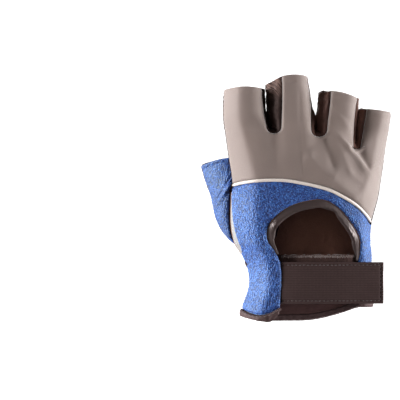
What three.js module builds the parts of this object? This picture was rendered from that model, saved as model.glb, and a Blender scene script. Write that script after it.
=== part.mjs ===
// A half-finger work glove for the right hand, lying palm down.
// Millimetres, +Z up out of the back of the hand, +Y towards the fingertips, thumb on the -X side.
// Every panel is a sheet of points with a wall of its own thickness; neighbours keep a narrow seam gap.
import * as THREE from "three";

// Driving dimensions
const SEAM_GAP = 0.32;
const SEAM_BEVEL = 0.8;
const WALL = { cloth: 1.3, terry: 2, leather: 1.2, side: 1.1, binding: 2.3 };
const PIPING_RADIUS = 1.05;
const SIDE_SEAM = { bevel: 1.2, gap: 0.3 };
const VENT_ROLL = { reach: 2.7, thickness: 1.45, tilt: 0.3, sides: 8 };
const CUFF = { band: 5.2, roll: 0.6, bevel: 0.4, returns: [0.988, 0.952, 0.892] };
const THUMB_REST = 0.6;
const STRAP = { left: -21, right: 57, top: -41.6, bottom: -68.6, thickness: 2.6 };
const UNDERLAP = { left: -19, right: 45.5, top: -36.8, bottom: -66.5, thickness: 1.3 };
const HOOK_TAPE = { left: 46.5, right: 56, top: -43.4, bottom: -66.6, thickness: 1.1 };

// Grid counts: faces across a finger, up the back, up the palm's three stretches, round a slot's foot
// and so on
const GRID = {
  finger: 7,
  back: 13,
  wrist: 4,
  thenar: 6,
  diagonal: 4,
  slotFoot: 3,
  stall: 5,
  side: 3,
  leg: 8,
  ventTop: 18,
  terry: 6,
  thumb: 15,
  thumbAcross: 8,
  strip: 4,
  cuffBand: 3,
  cuffOnLeg: 7,
  cuffOnPalm: 22,
  piping: 34,
  pad: 36,
  strap: 14,
  curveSearch: 400,
};

// The hand's cross-sections from the wrist to the stalls: width, the side seams' heights, crown and underside
const HAND = table("y left right leftSeam rightSeam top under", [
  [-82, -36.3, 51, 13, 12.5, 25.5, 1.6],
  [-71, -35.2, 50.6, 13, 12.6, 26.5, 1.8],
  [-57, -30.9, 50, 13.6, 12.8, 27.8, 2.8],
  [-45, -31.9, 50.1, 14.4, 13, 28.8, 3],
  [-36, -36, 49.9, 15.2, 13, 29.4, 3],
  [-29, -40.1, 49.1, 16, 13, 30, 3],
  [-16, -42.3, 49.7, 17.6, 13, 31.2, 3],
  [0, -42.1, 53.9, 19.2, 12.6, 32.2, 3],
  [12, -41.7, 56, 20.5, 12, 32.5, 3],
  [25, -43.6, 58, 21, 11.6, 31.8, 3.4],
  [38, -45.5, 60.1, 20.5, 11.5, 30, 4.5],
  [50, -47.1, 62, 19.6, 11.5, 28.4, 6],
  [58, -47.4, 62.1, 19, 11.5, 27.6, 6.5],
  [72, -46.5, 61, 18.2, 11.5, 27, 7],
]);
const BACK_TILT = -2.5;
const BACK_FULLNESS = 2.4;
const PALM_FULLNESS = { left: 2, right: 4 };

// The stalls' outer sides in plan, with their undersides and tops, at the root and at the cut edge
const STALLS = [
  table("y left right under top", [
    [36, -45.3, -16.6, 11, 30],
    [44, -46.4, -17.7, 11, 29.6],
    [57, -47.4, -19.6, 10, 29],
    [73, -46.4, -20.5, 8.8, 27.6],
  ]),
  table("y left right under top", [
    [36, -16, 13, 7.5, 29],
    [46, -17, 12.4, 8, 28.6],
    [60, -18.2, 10.8, 8, 27.8],
    [80.5, -18.7, 7.9, 7.6, 26.4],
  ]),
  table("y left right under top", [
    [30, 13, 38, 6, 27],
    [46, 13.9, 39.1, 6, 26.4],
    [58, 15.4, 40.2, 6, 25.6],
    [70.5, 16.4, 41, 5.6, 24.4],
  ]),
  table("y left right under top", [
    [28, 38.6, 58.5, 4.2, 23],
    [38, 39.5, 60.1, 4.2, 22.4],
    [50, 41, 62.1, 4, 21.6],
    [59, 41.8, 61.6, 4, 20.4],
  ]),
];
const STALL_FULLNESS = 2.3;
const STALL_BLEND = 14;

// The slots between the stalls: foot, foot radius, and each edge by way of a middle point to its top
const SLOT_COLUMNS = "x y radius leftMidX leftMidY leftTopX leftTopY rightMidX rightMidY rightTopX rightTopY";
const BACK_SLOTS = table(SLOT_COLUMNS, [
  [-14, 41.9, 4.5, -20.3, 59, -21.9, 71.3, -8.9, 63, -8.8, 79.3],
  [15.3, 39.7, 4.9, 10.4, 62, 7.4, 79.4, 21.3, 55, 23.1, 69.8],
  [40, 31.6, 2.1, 38.7, 50, 40.4, 65.2, 43.7, 45, 46.4, 58],
]);
const PALM_SLOTS = table(SLOT_COLUMNS, [
  [-17.8, 44.6, 2.6, -22.6, 59, -25, 71.6, -15.6, 60, -17.2, 74.6],
  [12.5, 42.8, 2.3, 8.8, 62, 7, 78.6, 15.8, 57, 17.6, 70.2],
  [38, 36.4, 2, 36.9, 50, 38.6, 65.4, 41.1, 46, 42.6, 58.6],
]);
const WEB_DIP = { back: 4.2, palm: 2.6, width: 6.5, length: 15 };

// Where the knuckle line and the stalls' cut edges meet the two outer sides, and how far they bow
const KNUCKLES = { left: 42, right: 35, bulge: 1.6 };
const CUT_EDGE = { indexLeft: 70.4, littleRight: 56, crown: [1.6, 0.9, 0.8, 0.2] };

// The piping across the back, from the index side to the little side
const PIPING = table("x y", [
  [-41.4, 8],
  [-36, 9.5],
  [-29.5, 10.6],
  [-22, 11.3],
  [-14, 11.5],
  [-6, 11.2],
  [3, 9.7],
  [13, 7.6],
  [22.5, 4.8],
  [31, 0.5],
  [39, -4.5],
  [45.2, -10.3],
  [49.8, -16.4],
]);

const PIPING_ENDS = [PIPING[0].x, PIPING[PIPING.length - 1].x];

// The vent's edge in the terry: up the left leg, round the top, and down the right leg
const VENT = [
  [-10.3, -70.6], [-9.5, -58], [-10.2, -43], [-13.8, -34.6], [-18.4, -27.5], [-18.2, -19], [-13.5, -12.3],
  [-4, -5.4], [8, -1.7], [17.5, -1.1], [26, -5], [35.5, -15.2], [41.5, -26], [42, -35], [40.8, -42],
  [40.8, -65.8],
];
const VENT_CORNERS = { left: [-13.5, -12.3], right: [35.5, -15.2] };
const VENT_ROLL_ENDS = { left: [-10.5, -41], right: [41, -41] };
const TERRY_CROWDING = 0.65;
const LEG_FOOT = { outer: -71.6, sag: 5, roundness: 0.8 };

// Folds of the stretch cloth: a straight crease from one point to another, its height and its half width
const FOLDS = table("x0 y0 x1 y1 height width", [
  [27, 40, 38.5, 31.5, 1.3, 2.4],
  [38.5, 31.5, 49, 18.5, 2, 2.2],
  [30, 27.5, 51, 10, 1.3, 2.8],
  [8, 32, 50, -4, 0.9, 4],
  [40, 26.5, 47, 21.5, -1.3, 2.6],
  [20, 33, 33, 21, -1.5, 4],
  [-32, 62, -30, 20, -0.9, 6],
  [-14, 34, -12, 18, -0.8, 7],
]);

// The palm's seam with the thumb, from the index side of the wrist up to the crotch
const THENAR_START = -40.6;
const THENAR_SEAM = [[-27.5, -38.2], [-19.5, -32.8], [-13.4, -24.5], [-10.9, -12], [-10.8, 2], [-12.4, 12.6]];
// The strip's seam: from the crotch across the palm, then up the front of the index stall
const STRIP_DIAGONAL = [[-12.4, 12.6], [-18, 22], [-29.4, 35.4], [-31.6, 41]];
const STRIP_FRONT = table("y x", [
  [41, -31.6],
  [54.5, -34.2],
  [71.2, -39.4],
]);
const CROTCH_Y = 11.2;

// The cut edge of the wrist, on the palm and on the left leg
const WRIST_PALM = table("x y", [
  [-36, -77],
  [-23, -80],
  [-5, -80.4],
  [9.4, -80],
  [20, -78.2],
  [30, -75.5],
  [42, -71.6],
  [51, -71],
]);
const WRIST_LEG = table("x y", [
  [-36, -77],
  [-29.6, -78.8],
  [-19, -80.6],
  [-15, -79.6],
  [-10.6, -75.2],
]);

// The padded panel's outline on the palm, and the point its rings shrink to
const PAD_OUTLINE = [
  [-26.5, 34.6], [-4, 36.6], [24, 37.4], [37, 32.5], [41.6, 19], [40.2, -7], [36, -40], [28, -54],
  [15, -58.8], [1.5, -54], [-5, -42], [-7.6, -20], [-8.2, 6], [-10.4, 17.5], [-17.5, 25.5],
];
const PAD_CENTRE = [11, 6];
const PAD_RINGS = table("scale depth", [
  [1, 0.35],
  [0.985, 0.62],
  [0.95, 0.85],
  [0.88, 1],
  [0.5, 1],
]);
const PAD_TOP_RINGS = [0.3, 0.6, 0.85, 1];
const PAD_GAP = 0.5;
const PAD_THICKNESS = 3.8;

// Heights of the top of the closure strap and of the tab under it
const STRAP_LEAN = 0.06;
const STRAP_TOP = table("x z", [
  [-21, 23.2],
  [-10.5, 26],
  [-2, 28.2],
  [8, 29.6],
  [18, 29.9],
  [28, 29.2],
  [36, 28.2],
  [42, 27.4],
  [57, 25.4],
]);
const UNDERLAP_TOP = table("x z", [
  [-19, 20.1],
  [-10.5, 22.6],
  [-2, 25.1],
  [8, 26.6],
  [18, 26.8],
  [27, 24.9],
  [34, 20.4],
  [40, 17.7],
  [45.5, 15.4],
]);

// The thumb, from its cut edge down to the wrist end of its seams: the leather's and the terry's inner
// edges, the outer seam between them, and the crests that each row bulges to, low and high
const THUMB_COLUMNS =
  "row frontX frontY frontZ backX backY backZ outerX outerY outerZ lowX lowY lowZ highX highY highZ";
const THUMB = table(THUMB_COLUMNS, [
  [0, -38.9, 22.6, 8.6, -38.9, 22.6, 8.6, -61.4, 20.6, 6.6, -50, 24.6, 0.8, -52, 26.2, 16.6],
  [1, -38.9, 16.6, 10, -38.9, 16.6, 10, -59.8, 13.4, 6.2, -49.5, 15.5, 0.7, -52, 17, 17],
  [2, -40.2, 13.2, 13, -40.2, 13.2, 13, -57.4, 6.5, 5.8, -48.5, 9.5, 0.7, -51, 10.5, 16.6],
  [3, -40.9, 10.8, 16.4, -42.3, 8.4, 19, -55.6, 1.8, 5.4, -46.5, 6.4, 0.7, -50.6, 5.4, 15.4],
  [4, -33, 11.2, 9.9, -42.6, 3, 19.2, -53.6, -2.4, 5, -43, 4.6, 0.7, -50.8, 0, 13.6],
  [5, -22, 11.8, 6.3, -42.7, -3.5, 18.6, -51.9, -7, 4.8, -37, 2.4, 0.7, -51, -5.6, 13.8],
  [6, -13, 12.2, 4.7, -42.8, -9.8, 18, -50.4, -13, 4.8, -31, -1.6, 0.8, -50.2, -12, 13.4],
  [7, -11.4, 2, 4.2, -42.7, -16, 17.3, -48, -18.6, 5, -29, -8.5, 0.8, -48.4, -18, 12.6],
  [8, -11.5, -12, 4, -42.2, -22, 16.5, -44.8, -23.8, 5.4, -28, -18, 0.9, -45.6, -23.4, 12],
  [9, -14.1, -24, 4, -40.9, -27.6, 15.8, -41.2, -28.8, 6.4, -27.2, -27, 1.2, -42.6, -28.4, 11.6],
  [10, -20, -32.1, 4.3, -38.8, -31.8, 15.3, -37.8, -33.2, 8.4, -28.8, -33, 2, -39.2, -32.6, 12],
  [11, -27.9, -37.2, 5.6, -36.6, -35, 14.9, -35.4, -36.2, 11, -31.5, -37.2, 5, -36.2, -35.8, 13],
]);

// Finishes
const FINISH = {
  cloth: { color: 0x8f8078, roughness: 0.82, metalness: 0 },
  terry: { color: 0x4a7ec8, roughness: 1, metalness: 0 },
  leather: { color: 0x33261f, roughness: 0.48, metalness: 0 },
  piping: { color: 0xe9ded6, roughness: 0.55, metalness: 0 },
  webbing: { color: 0x382d2c, roughness: 0.8, metalness: 0 },
};

// Rows of numbers under named columns
function table(columns, rows) {
  const names = columns.split(" ");
  return rows.map((row) => Object.fromEntries(row.map((value, i) => [names[i], value])));
}

const lerp = (a, b, t) => a + (b - a) * t;
const clamp = (value, low, high) => Math.min(high, Math.max(low, value));
const ease = (t) => clamp(t, 0, 1) ** 2 * (3 - 2 * clamp(t, 0, 1));

// A smooth curve through one column of a table, read at a place along its first column
function read(rows, column, place) {
  const key = Object.keys(rows[0])[0];
  const last = rows.length - 1;
  const at = clamp(place, rows[0][key], rows[last][key]);
  let i = 0;
  while (i < last - 1 && rows[i + 1][key] < at) i += 1;
  const slope = (a, b) => (rows[b][column] - rows[a][column]) / (rows[b][key] - rows[a][key]);
  const span = rows[i + 1][key] - rows[i][key];
  const start = i > 0 ? slope(i - 1, i + 1) : slope(0, 1);
  const end = i < last - 1 ? slope(i, i + 2) : slope(last - 1, last);
  const t = (at - rows[i][key]) / span;
  const rise = rows[i + 1][column] - rows[i][column];
  const bend = t * (1 - t) * ((1 - t) * (start * span - rise) - t * (end * span - rise));
  return rows[i][column] + rise * t + bend;
}

// A smooth plan curve through points, read by the share of its length
function planCurve(points) {
  const knots = points.map(([x, y]) => new THREE.Vector3(x, y, 0));
  const curve = new THREE.CatmullRomCurve3(knots, false, "centripetal");
  return (share) => curve.getPointAt(clamp(share, 0, 1));
}

const arch = (across, fullness) => (1 - Math.abs(clamp(across, -1, 1)) ** fullness) ** (1 / fullness);

// Height that the folds add over a plan point
function foldHeight(x, y) {
  let height = 0;
  for (const fold of FOLDS) {
    const dx = fold.x1 - fold.x0;
    const dy = fold.y1 - fold.y0;
    const length = Math.hypot(dx, dy);
    const along = ((x - fold.x0) * dx + (y - fold.y0) * dy) / length;
    const aside = ((x - fold.x0) * dy - (y - fold.y0) * dx) / length;
    const past = Math.max(0, -along, along - length);
    height += fold.height * Math.exp(-((aside / fold.width) ** 2) - (past / (2 * fold.width)) ** 2);
  }
  return height;
}

// How far the cloth is drawn in below the foot of each slot
function webDip(slots, depth, x, y) {
  return slots.reduce((sum, slot) => {
    const below = Math.max(0, slot.y - y);
    return sum + depth * Math.exp(-(((x - slot.x) / WEB_DIP.width) ** 2) - (below / WEB_DIP.length) ** 2);
  }, 0);
}

// Height of the back of the hand over a plan point
function backHeight(x, y) {
  const left = read(HAND, "left", y);
  const right = read(HAND, "right", y);
  const across = (2 * x - left - right) / (right - left);
  const seam = read(HAND, across < 0 ? "leftSeam" : "rightSeam", y);
  const full = arch(across, BACK_FULLNESS);
  const crest = read(HAND, "top", y) + BACK_TILT * across;
  return seam + (crest - seam) * full + full * (foldHeight(x, y) - webDip(BACK_SLOTS, WEB_DIP.back, x, y));
}

// Height of the palm's outer face over a plan point
function palmHeight(x, y) {
  const left = read(HAND, "left", y);
  const right = read(HAND, "right", y);
  const across = (2 * x - left - right) / (right - left);
  const seam = read(HAND, across < 0 ? "leftSeam" : "rightSeam", y);
  const full = arch(across, across < 0 ? PALM_FULLNESS.left : PALM_FULLNESS.right);
  return seam + (read(HAND, "under", y) - seam) * full + full * webDip(PALM_SLOTS, WEB_DIP.palm, x, y);
}

// A stall's two sides in plan; the outer ones are the hand's own
function stallSide(finger, side, y) {
  const onHand = (finger === 0 && side === "left") || (finger === 3 && side === "right");
  return read(onHand ? HAND : STALLS[finger], side, y);
}

// Height of a stall's back or front over a plan point
function stallHeight(finger, side, x, y) {
  const stall = STALLS[finger];
  const left = stallSide(finger, "left", y);
  const right = stallSide(finger, "right", y);
  const across = clamp((2 * x - left - right) / (right - left), -1, 1);
  const middle = (read(stall, "under", y) + read(stall, "top", y)) / 2;
  const rise = read(stall, side, y) - middle;
  return middle + rise * arch(across, STALL_FULLNESS) + (side === "top" ? foldHeight(x, y) : 0);
}

// A point of the skin: the hand's height, turning into the stall's above the line of the knuckles
function skinPoint(finger, side, x, y, webY) {
  const hand = side === "top" ? backHeight(x, y) : palmHeight(x, y);
  const weight = ease((y - webY) / STALL_BLEND);
  const z = weight > 0 ? lerp(hand, stallHeight(finger, side, x, y), weight) : hand;
  return new THREE.Vector3(x, y, z);
}

// One edge of a slot: round its foot, then up to the cut edge of the stall
function slotEdge(slot, side, row) {
  const sign = side === "left" ? -1 : 1;
  if (row <= GRID.slotFoot) {
    const angle = (row / GRID.slotFoot) * (Math.PI / 2);
    return [slot.x + sign * slot.radius * Math.sin(angle), slot.y + slot.radius * (1 - Math.cos(angle))];
  }
  const path = table("y x", [
    [slot.y + slot.radius, slot.x + sign * slot.radius],
    [slot[side + "MidY"], slot[side + "MidX"]],
    [slot[side + "TopY"], slot[side + "TopX"]],
  ]);
  const y = lerp(path[0].y, path[2].y, (row - GRID.slotFoot) / GRID.stall);
  return [read(path, "x", y), y];
}

// A sheet is a list of points with four-sided faces
const newSheet = () => ({ points: [], faces: [] });

function addPoint(sheet, point) {
  sheet.points.push(point);
  return sheet.points.length - 1;
}

// Faces between the rows of point numbers, turned to face up or down
function addRows(sheet, rows, faceUp) {
  for (let r = 0; r + 1 < rows.length; r += 1) {
    for (let c = 0; c + 1 < rows[r].length; c += 1) {
      const face = [rows[r][c], rows[r][c + 1], rows[r + 1][c + 1], rows[r + 1][c]];
      sheet.faces.push(faceUp ? face : face.reverse());
    }
  }
}

// A plain grid sheet from a function of two shares
function gridSheet(rowCount, columnCount, pointAt, faceUp) {
  const sheet = newSheet();
  const rows = [];
  for (let r = 0; r <= rowCount; r += 1) {
    const row = [];
    for (let c = 0; c <= columnCount; c += 1) {
      row.push(addPoint(sheet, pointAt(r / rowCount, c / columnCount)));
    }
    rows.push(row);
  }
  addRows(sheet, rows, faceUp);
  return sheet;
}

// Gives a sheet its wall: the points keep half a seam gap from the edge, and the inner edge is bevelled
function shell(sheet, wall, bevel = SEAM_BEVEL, gap = SEAM_GAP / 2) {
  const { points, faces } = sheet;
  const normals = points.map(() => new THREE.Vector3());
  for (const face of faces) {
    const across = new THREE.Vector3().subVectors(points[face[2]], points[face[0]]);
    const normal = across.cross(new THREE.Vector3().subVectors(points[face[3]], points[face[1]]));
    face.forEach((i) => normals[i].add(normal));
  }
  normals.forEach((normal) => normal.normalize());
  const followed = new Map();
  const taken = new Set(faces.flatMap((face) => face.map((a, i) => `${a} ${face[(i + 1) % face.length]}`)));
  for (const face of faces) {
    face.forEach((a, i) => {
      const b = face[(i + 1) % face.length];
      if (!taken.has(`${b} ${a}`)) followed.set(a, b);
    });
  }
  const inward = points.map(() => new THREE.Vector3());
  const before = new Map([...followed].map(([a, b]) => [b, a]));
  for (const [a, b] of followed) {
    const normal = normals[a];
    const side = (from, to) => {
      const edge = new THREE.Vector3().subVectors(points[to], points[from]);
      return new THREE.Vector3().crossVectors(normal, edge).normalize();
    };
    const first = side(before.get(a), a);
    const second = side(a, b);
    inward[a] = first.clone().add(second).divideScalar(Math.max(0.5, 1 + first.dot(second)));
  }
  const outer = points.map((point, i) => point.clone().addScaledVector(inward[i], gap));
  const inner = outer.map((point, i) =>
    point.clone().addScaledVector(normals[i], -wall).addScaledVector(inward[i], bevel),
  );
  const count = points.length;
  const closed = [...faces, ...faces.map((face) => face.map((i) => i + count).reverse())];
  for (const [a, b] of followed) closed.push([b, a, a + count, b + count]);
  return geometryOf([...outer, ...inner], closed);
}

// Points that cut the path from one share to the other into equal lengths
function evenPoints(pointAt, count) {
  const steps = 4 * count;
  const knots = Array.from({ length: steps + 1 }, (_, i) => pointAt(i / steps));
  return new THREE.CatmullRomCurve3(knots).getSpacedPoints(count);
}

// A geometry from points and three- or four-sided faces
function geometryOf(points, faces) {
  const index = faces.flatMap(([a, b, c, d]) => (d === undefined ? [a, b, c] : [a, b, c, a, c, d]));
  const geometry = new THREE.BufferGeometry();
  const places = new Float32Array(points.flatMap((point) => point.toArray()));
  geometry.setAttribute("position", new THREE.BufferAttribute(places, 3));
  geometry.setIndex(index);
  geometry.computeVertexNormals();
  return geometry;
}

// A closed body from rings of points, with a flat cap at each end
function ringBody(rings) {
  const sides = rings[0].length;
  const points = rings.flat();
  const faces = [];
  for (let r = 0; r + 1 < rings.length; r += 1) {
    for (let c = 0; c < sides; c += 1) {
      const next = (c + 1) % sides;
      faces.push([r * sides + c, r * sides + next, (r + 1) * sides + next, (r + 1) * sides + c]);
    }
  }
  const centre = (ring) => ring.reduce((sum, p) => sum.add(p), new THREE.Vector3()).divideScalar(sides);
  const first = points.push(centre(rings[0])) - 1;
  const last = points.push(centre(rings[rings.length - 1])) - 1;
  const top = (rings.length - 1) * sides;
  for (let c = 0; c < sides; c += 1) {
    const next = (c + 1) % sides;
    faces.push([first, next, c]);
    faces.push([last, top + c, top + next]);
  }
  return geometryOf(points, faces);
}

const group = new THREE.Group();

function addPiece(name, geometry, finish) {
  const mesh = new THREE.Mesh(geometry, new THREE.MeshStandardMaterial(FINISH[finish]));
  mesh.name = name;
  group.add(mesh);
}

// Shares across one finger: closer together towards the hand's outer sides, where the skin turns under
function fingerShare(finger, side, c) {
  const t = c / GRID.finger;
  if (finger === 0 && side === "top") return 1 - Math.cos((t * Math.PI) / 2);
  if (finger === 3) return Math.sin((t * Math.PI) / 2);
  return t;
}

// A sheet with four stalls above the line of the knuckles and one field of columns below it.
// The outer edges are functions of the share of the way up the field and up the stalls.
function fingeredSheet({ side, slots, fieldRows, footY, fieldLeft, fieldRight, stallLeft, stallRight }) {
  const sheet = newSheet();
  const faceUp = side === "top";
  const ends = [fieldLeft(1), ...slots.map((slot) => [slot.x, slot.y]), fieldRight(1)];
  const columns = [];
  for (let finger = 0; finger < 4; finger += 1) {
    for (let c = finger ? 1 : 0; c <= GRID.finger; c += 1) {
      const share = fingerShare(finger, side, c);
      const x = lerp(ends[finger][0], ends[finger + 1][0], share);
      const bow = KNUCKLES.bulge * Math.sin(Math.PI * share);
      const y = lerp(ends[finger][1], ends[finger + 1][1], share) + bow;
      columns.push({ finger, share, x, y, across: (x - ends[0][0]) / (ends[4][0] - ends[0][0]) });
    }
  }
  const straight = (t, across) => {
    const [left, right] = [fieldLeft(t), fieldRight(t)];
    return [lerp(left[0], right[0], across), lerp(left[1], right[1], across)];
  };
  const straightFoot = (across) => lerp(footY(fieldLeft(0)[0]), footY(fieldRight(0)[0]), across);
  const field = [];
  for (let r = 0; r <= fieldRows; r += 1) {
    const t = r / fieldRows;
    field.push(
      columns.map(({ finger, y: kneeY, across }) => {
        const [x, y] = straight(t, across);
        const footBend = footY(straight(0, across)[0]) - straightFoot(across);
        const bend = lerp(footBend, kneeY - straight(1, across)[1], t);
        return addPoint(sheet, skinPoint(finger, side, x, y + bend, kneeY));
      }),
    );
  }
  addRows(sheet, field, faceUp);
  const edges = [];
  const stallRows = GRID.slotFoot + GRID.stall;
  for (let finger = 0; finger < 4; finger += 1) {
    const first = finger * GRID.finger;
    const own = columns.slice(first, first + GRID.finger + 1);
    const stall = [field[fieldRows].slice(first, first + GRID.finger + 1)];
    for (let q = 1; q <= stallRows; q += 1) {
      const up = q / stallRows;
      const left = finger === 0 ? stallLeft(up) : slotEdge(slots[finger - 1], "right", q);
      const right = finger === 3 ? stallRight(up) : slotEdge(slots[finger], "left", q);
      const crown = lerp(KNUCKLES.bulge, CUT_EDGE.crown[finger], ease(up));
      stall.push(
        own.map(({ y: kneeY }, c) => {
          const share = fingerShare(finger, side, c);
          const y = lerp(left[1], right[1], share) + crown * Math.sin(Math.PI * share);
          return addPoint(sheet, skinPoint(finger, side, lerp(left[0], right[0], share), y, kneeY));
        }),
      );
    }
    addRows(sheet, stall, faceUp);
    edges.push({
      left: stall.map((row) => sheet.points[row[0]]),
      right: stall.map((row) => sheet.points[row[GRID.finger]]),
    });
  }
  return { sheet, edges };
}

const leftSide = (y) => [read(HAND, "left", y), y];
const rightSide = (y) => [read(HAND, "right", y), y];

// The edge of the cloth or the terry beside the piping: sign 1 towards the fingers, -1 towards the wrist
function pipingEdge(x, sign) {
  const inside = clamp(x, PIPING_ENDS[0] + 0.5, PIPING_ENDS[1] - 0.5);
  const slope = read(PIPING, "y", inside + 0.5) - read(PIPING, "y", inside - 0.5);
  return read(PIPING, "y", x) + sign * (PIPING_RADIUS + SEAM_GAP / 2) * Math.hypot(1, slope);
}

const back = fingeredSheet({
  side: "top",
  slots: BACK_SLOTS,
  fieldRows: GRID.back,
  footY: (x) => pipingEdge(x, 1),
  fieldLeft: (t) => leftSide(lerp(pipingEdge(PIPING_ENDS[0], 1), KNUCKLES.left, t)),
  fieldRight: (t) => rightSide(lerp(pipingEdge(PIPING_ENDS[1], 1), KNUCKLES.right, t)),
  stallLeft: (t) => leftSide(lerp(KNUCKLES.left, CUT_EDGE.indexLeft, t)),
  stallRight: (t) => rightSide(lerp(KNUCKLES.right, CUT_EDGE.littleRight, t)),
});
addPiece("back_panel", shell(back.sheet, WALL.cloth), "cloth");

// The palm's index edge: up the wrist's side, round the thumb's seam, then along the strip
const thenarCurve = planCurve([leftSide(THENAR_START), ...THENAR_SEAM]);
const diagonalCurve = planCurve(STRIP_DIAGONAL);
const palmRows = GRID.wrist + GRID.thenar + GRID.diagonal;
const palmFoot = (x) => read(WRIST_PALM, "y", x) + CUFF.band;
const wristEnds = [WRIST_PALM[0].x, WRIST_PALM[WRIST_PALM.length - 1].x];

function palmIndexEdge(t) {
  const row = t * palmRows;
  if (row <= GRID.wrist) return leftSide(lerp(palmFoot(wristEnds[0]), THENAR_START, row / GRID.wrist));
  const onThenar = (row - GRID.wrist) / GRID.thenar;
  const onDiagonal = (row - GRID.wrist - GRID.thenar) / GRID.diagonal;
  const point = onThenar <= 1 ? thenarCurve(onThenar) : diagonalCurve(onDiagonal);
  return [point.x, point.y];
}

function stripFrontEdge(t) {
  const y = lerp(STRIP_FRONT[0].y, STRIP_FRONT[2].y, t);
  return [read(STRIP_FRONT, "x", y), y];
}

const palm = fingeredSheet({
  side: "under",
  slots: PALM_SLOTS,
  fieldRows: palmRows,
  footY: palmFoot,
  fieldLeft: palmIndexEdge,
  fieldRight: (t) => rightSide(lerp(palmFoot(wristEnds[1]), KNUCKLES.right, t)),
  stallLeft: stripFrontEdge,
  stallRight: (t) => rightSide(lerp(KNUCKLES.right, CUT_EDGE.littleRight, t)),
});
addPiece("palm_panel", shell(palm.sheet, WALL.leather), "leather");

// The strip from the thumb's crotch up the outer side of the index stall
function indexStrip() {
  const stallRows = GRID.slotFoot + GRID.stall;
  const rows = GRID.diagonal + stallRows;
  return gridSheet(rows, GRID.strip, (up, share) => {
    const row = up * rows;
    const onFront = (row - GRID.diagonal) / stallRows;
    const point = diagonalCurve(row / GRID.diagonal);
    const [innerX, innerY] = onFront > 0 ? stripFrontEdge(onFront) : [point.x, point.y];
    const outerY =
      onFront > 0
        ? lerp(KNUCKLES.left, CUT_EDGE.indexLeft, onFront)
        : lerp(CROTCH_Y, KNUCKLES.left, row / GRID.diagonal);
    const out = Math.sin((share * Math.PI) / 2);
    const x = lerp(innerX, leftSide(outerY)[0], out);
    return skinPoint(0, "under", x, lerp(innerY, outerY, out), STRIP_FRONT[0].y);
  }, true);
}
addPiece("index_strip", shell(indexStrip(), WALL.leather), "leather");

// The leather between two stalls: down one side, round the slot's foot, and up the other side
function fourchette(slot) {
  const stations = [];
  const stallRows = GRID.slotFoot + GRID.stall;
  const addStation = (finger, side, q) => {
    const high = back.edges[finger][side][q];
    const low = palm.edges[finger][side][q];
    const middle = new THREE.Vector3().addVectors(high, low).divideScalar(2);
    const bulge = 2 * (stallSide(finger, side, middle.y) - middle.x);
    middle.x += bulge * ease(q / GRID.slotFoot);
    stations.push({ high, middle, low });
  };
  for (let q = stallRows; q > 0; q -= 1) addStation(slot, "right", q);
  for (let q = 0; q <= stallRows; q += 1) addStation(slot + 1, "left", q);
  return gridSheet(stations.length - 1, GRID.side, (along, down) => {
    const { high, middle, low } = stations[Math.round(along * (stations.length - 1))];
    return new THREE.QuadraticBezierCurve3(high, middle, low).getPoint(down);
  }, false);
}
["index_middle", "middle_ring", "ring_little"].forEach((pair, slot) => {
  const wall = shell(fourchette(slot), WALL.side, SIDE_SEAM.bevel, SIDE_SEAM.gap);
  addPiece(`fourchette_${pair}`, wall, "leather");
});

// The piping cord, half sunk between the cloth and the terry
function piping() {
  const points = [];
  const inset = 0.8;
  for (let i = 0; i <= PIPING.length * 2; i += 1) {
    const x = lerp(PIPING_ENDS[0] + inset, PIPING_ENDS[1] - inset, i / (PIPING.length * 2));
    const y = read(PIPING, "y", x);
    points.push(new THREE.Vector3(x, y, backHeight(x, y) - PIPING_RADIUS / 2));
  }
  const round = new THREE.Shape().absarc(0, 0, PIPING_RADIUS, 0, 2 * Math.PI);
  const extrudePath = new THREE.CatmullRomCurve3(points);
  return new THREE.ExtrudeGeometry(round, { extrudePath, steps: GRID.piping, curveSegments: 4 });
}
addPiece("piping", piping(), "piping");

// The share of a plan curve's length nearest to a point
function shareNear(curve, [x, y]) {
  const far = (share) => Math.hypot(curve(share).x - x, curve(share).y - y);
  let best = 0;
  for (let i = 1; i <= GRID.curveSearch; i += 1) {
    if (far(i / GRID.curveSearch) < far(best)) best = i / GRID.curveSearch;
  }
  return best;
}

const ventCurve = planCurve(VENT);
const ventLeft = shareNear(ventCurve, VENT_CORNERS.left);
const ventRight = shareNear(ventCurve, VENT_CORNERS.right);
const terryTop = { left: pipingEdge(PIPING_ENDS[0], -1), right: pipingEdge(PIPING_ENDS[1], -1) };
const rightLegFoot = palmFoot(wristEnds[1]);

// The terry's two edges at a share of one of its three stretches: left leg, top and right leg
function terryEdges(stretch, share) {
  if (stretch === "left") {
    const outer = leftSide(lerp(LEG_FOOT.outer, terryTop.left, share));
    return { inner: ventCurve(ventLeft * share), outer };
  }
  if (stretch === "right") {
    const outer = rightSide(lerp(terryTop.right, rightLegFoot, share));
    return { inner: ventCurve(lerp(ventRight, 1, share)), outer };
  }
  if (share === 1) return { inner: ventCurve(ventRight), outer: rightSide(terryTop.right) };
  const x = lerp(leftSide(terryTop.left)[0], rightSide(terryTop.right)[0], share);
  return { inner: ventCurve(lerp(ventLeft, ventRight, share)), outer: [x, pipingEdge(x, -1)] };
}

// The leg's foot hangs lower between its two corners
const footSag = (share, across) =>
  LEG_FOOT.sag * (1 - share) ** 3 * Math.sin(Math.PI * clamp(across, 0, 1)) ** LEG_FOOT.roundness;

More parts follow.
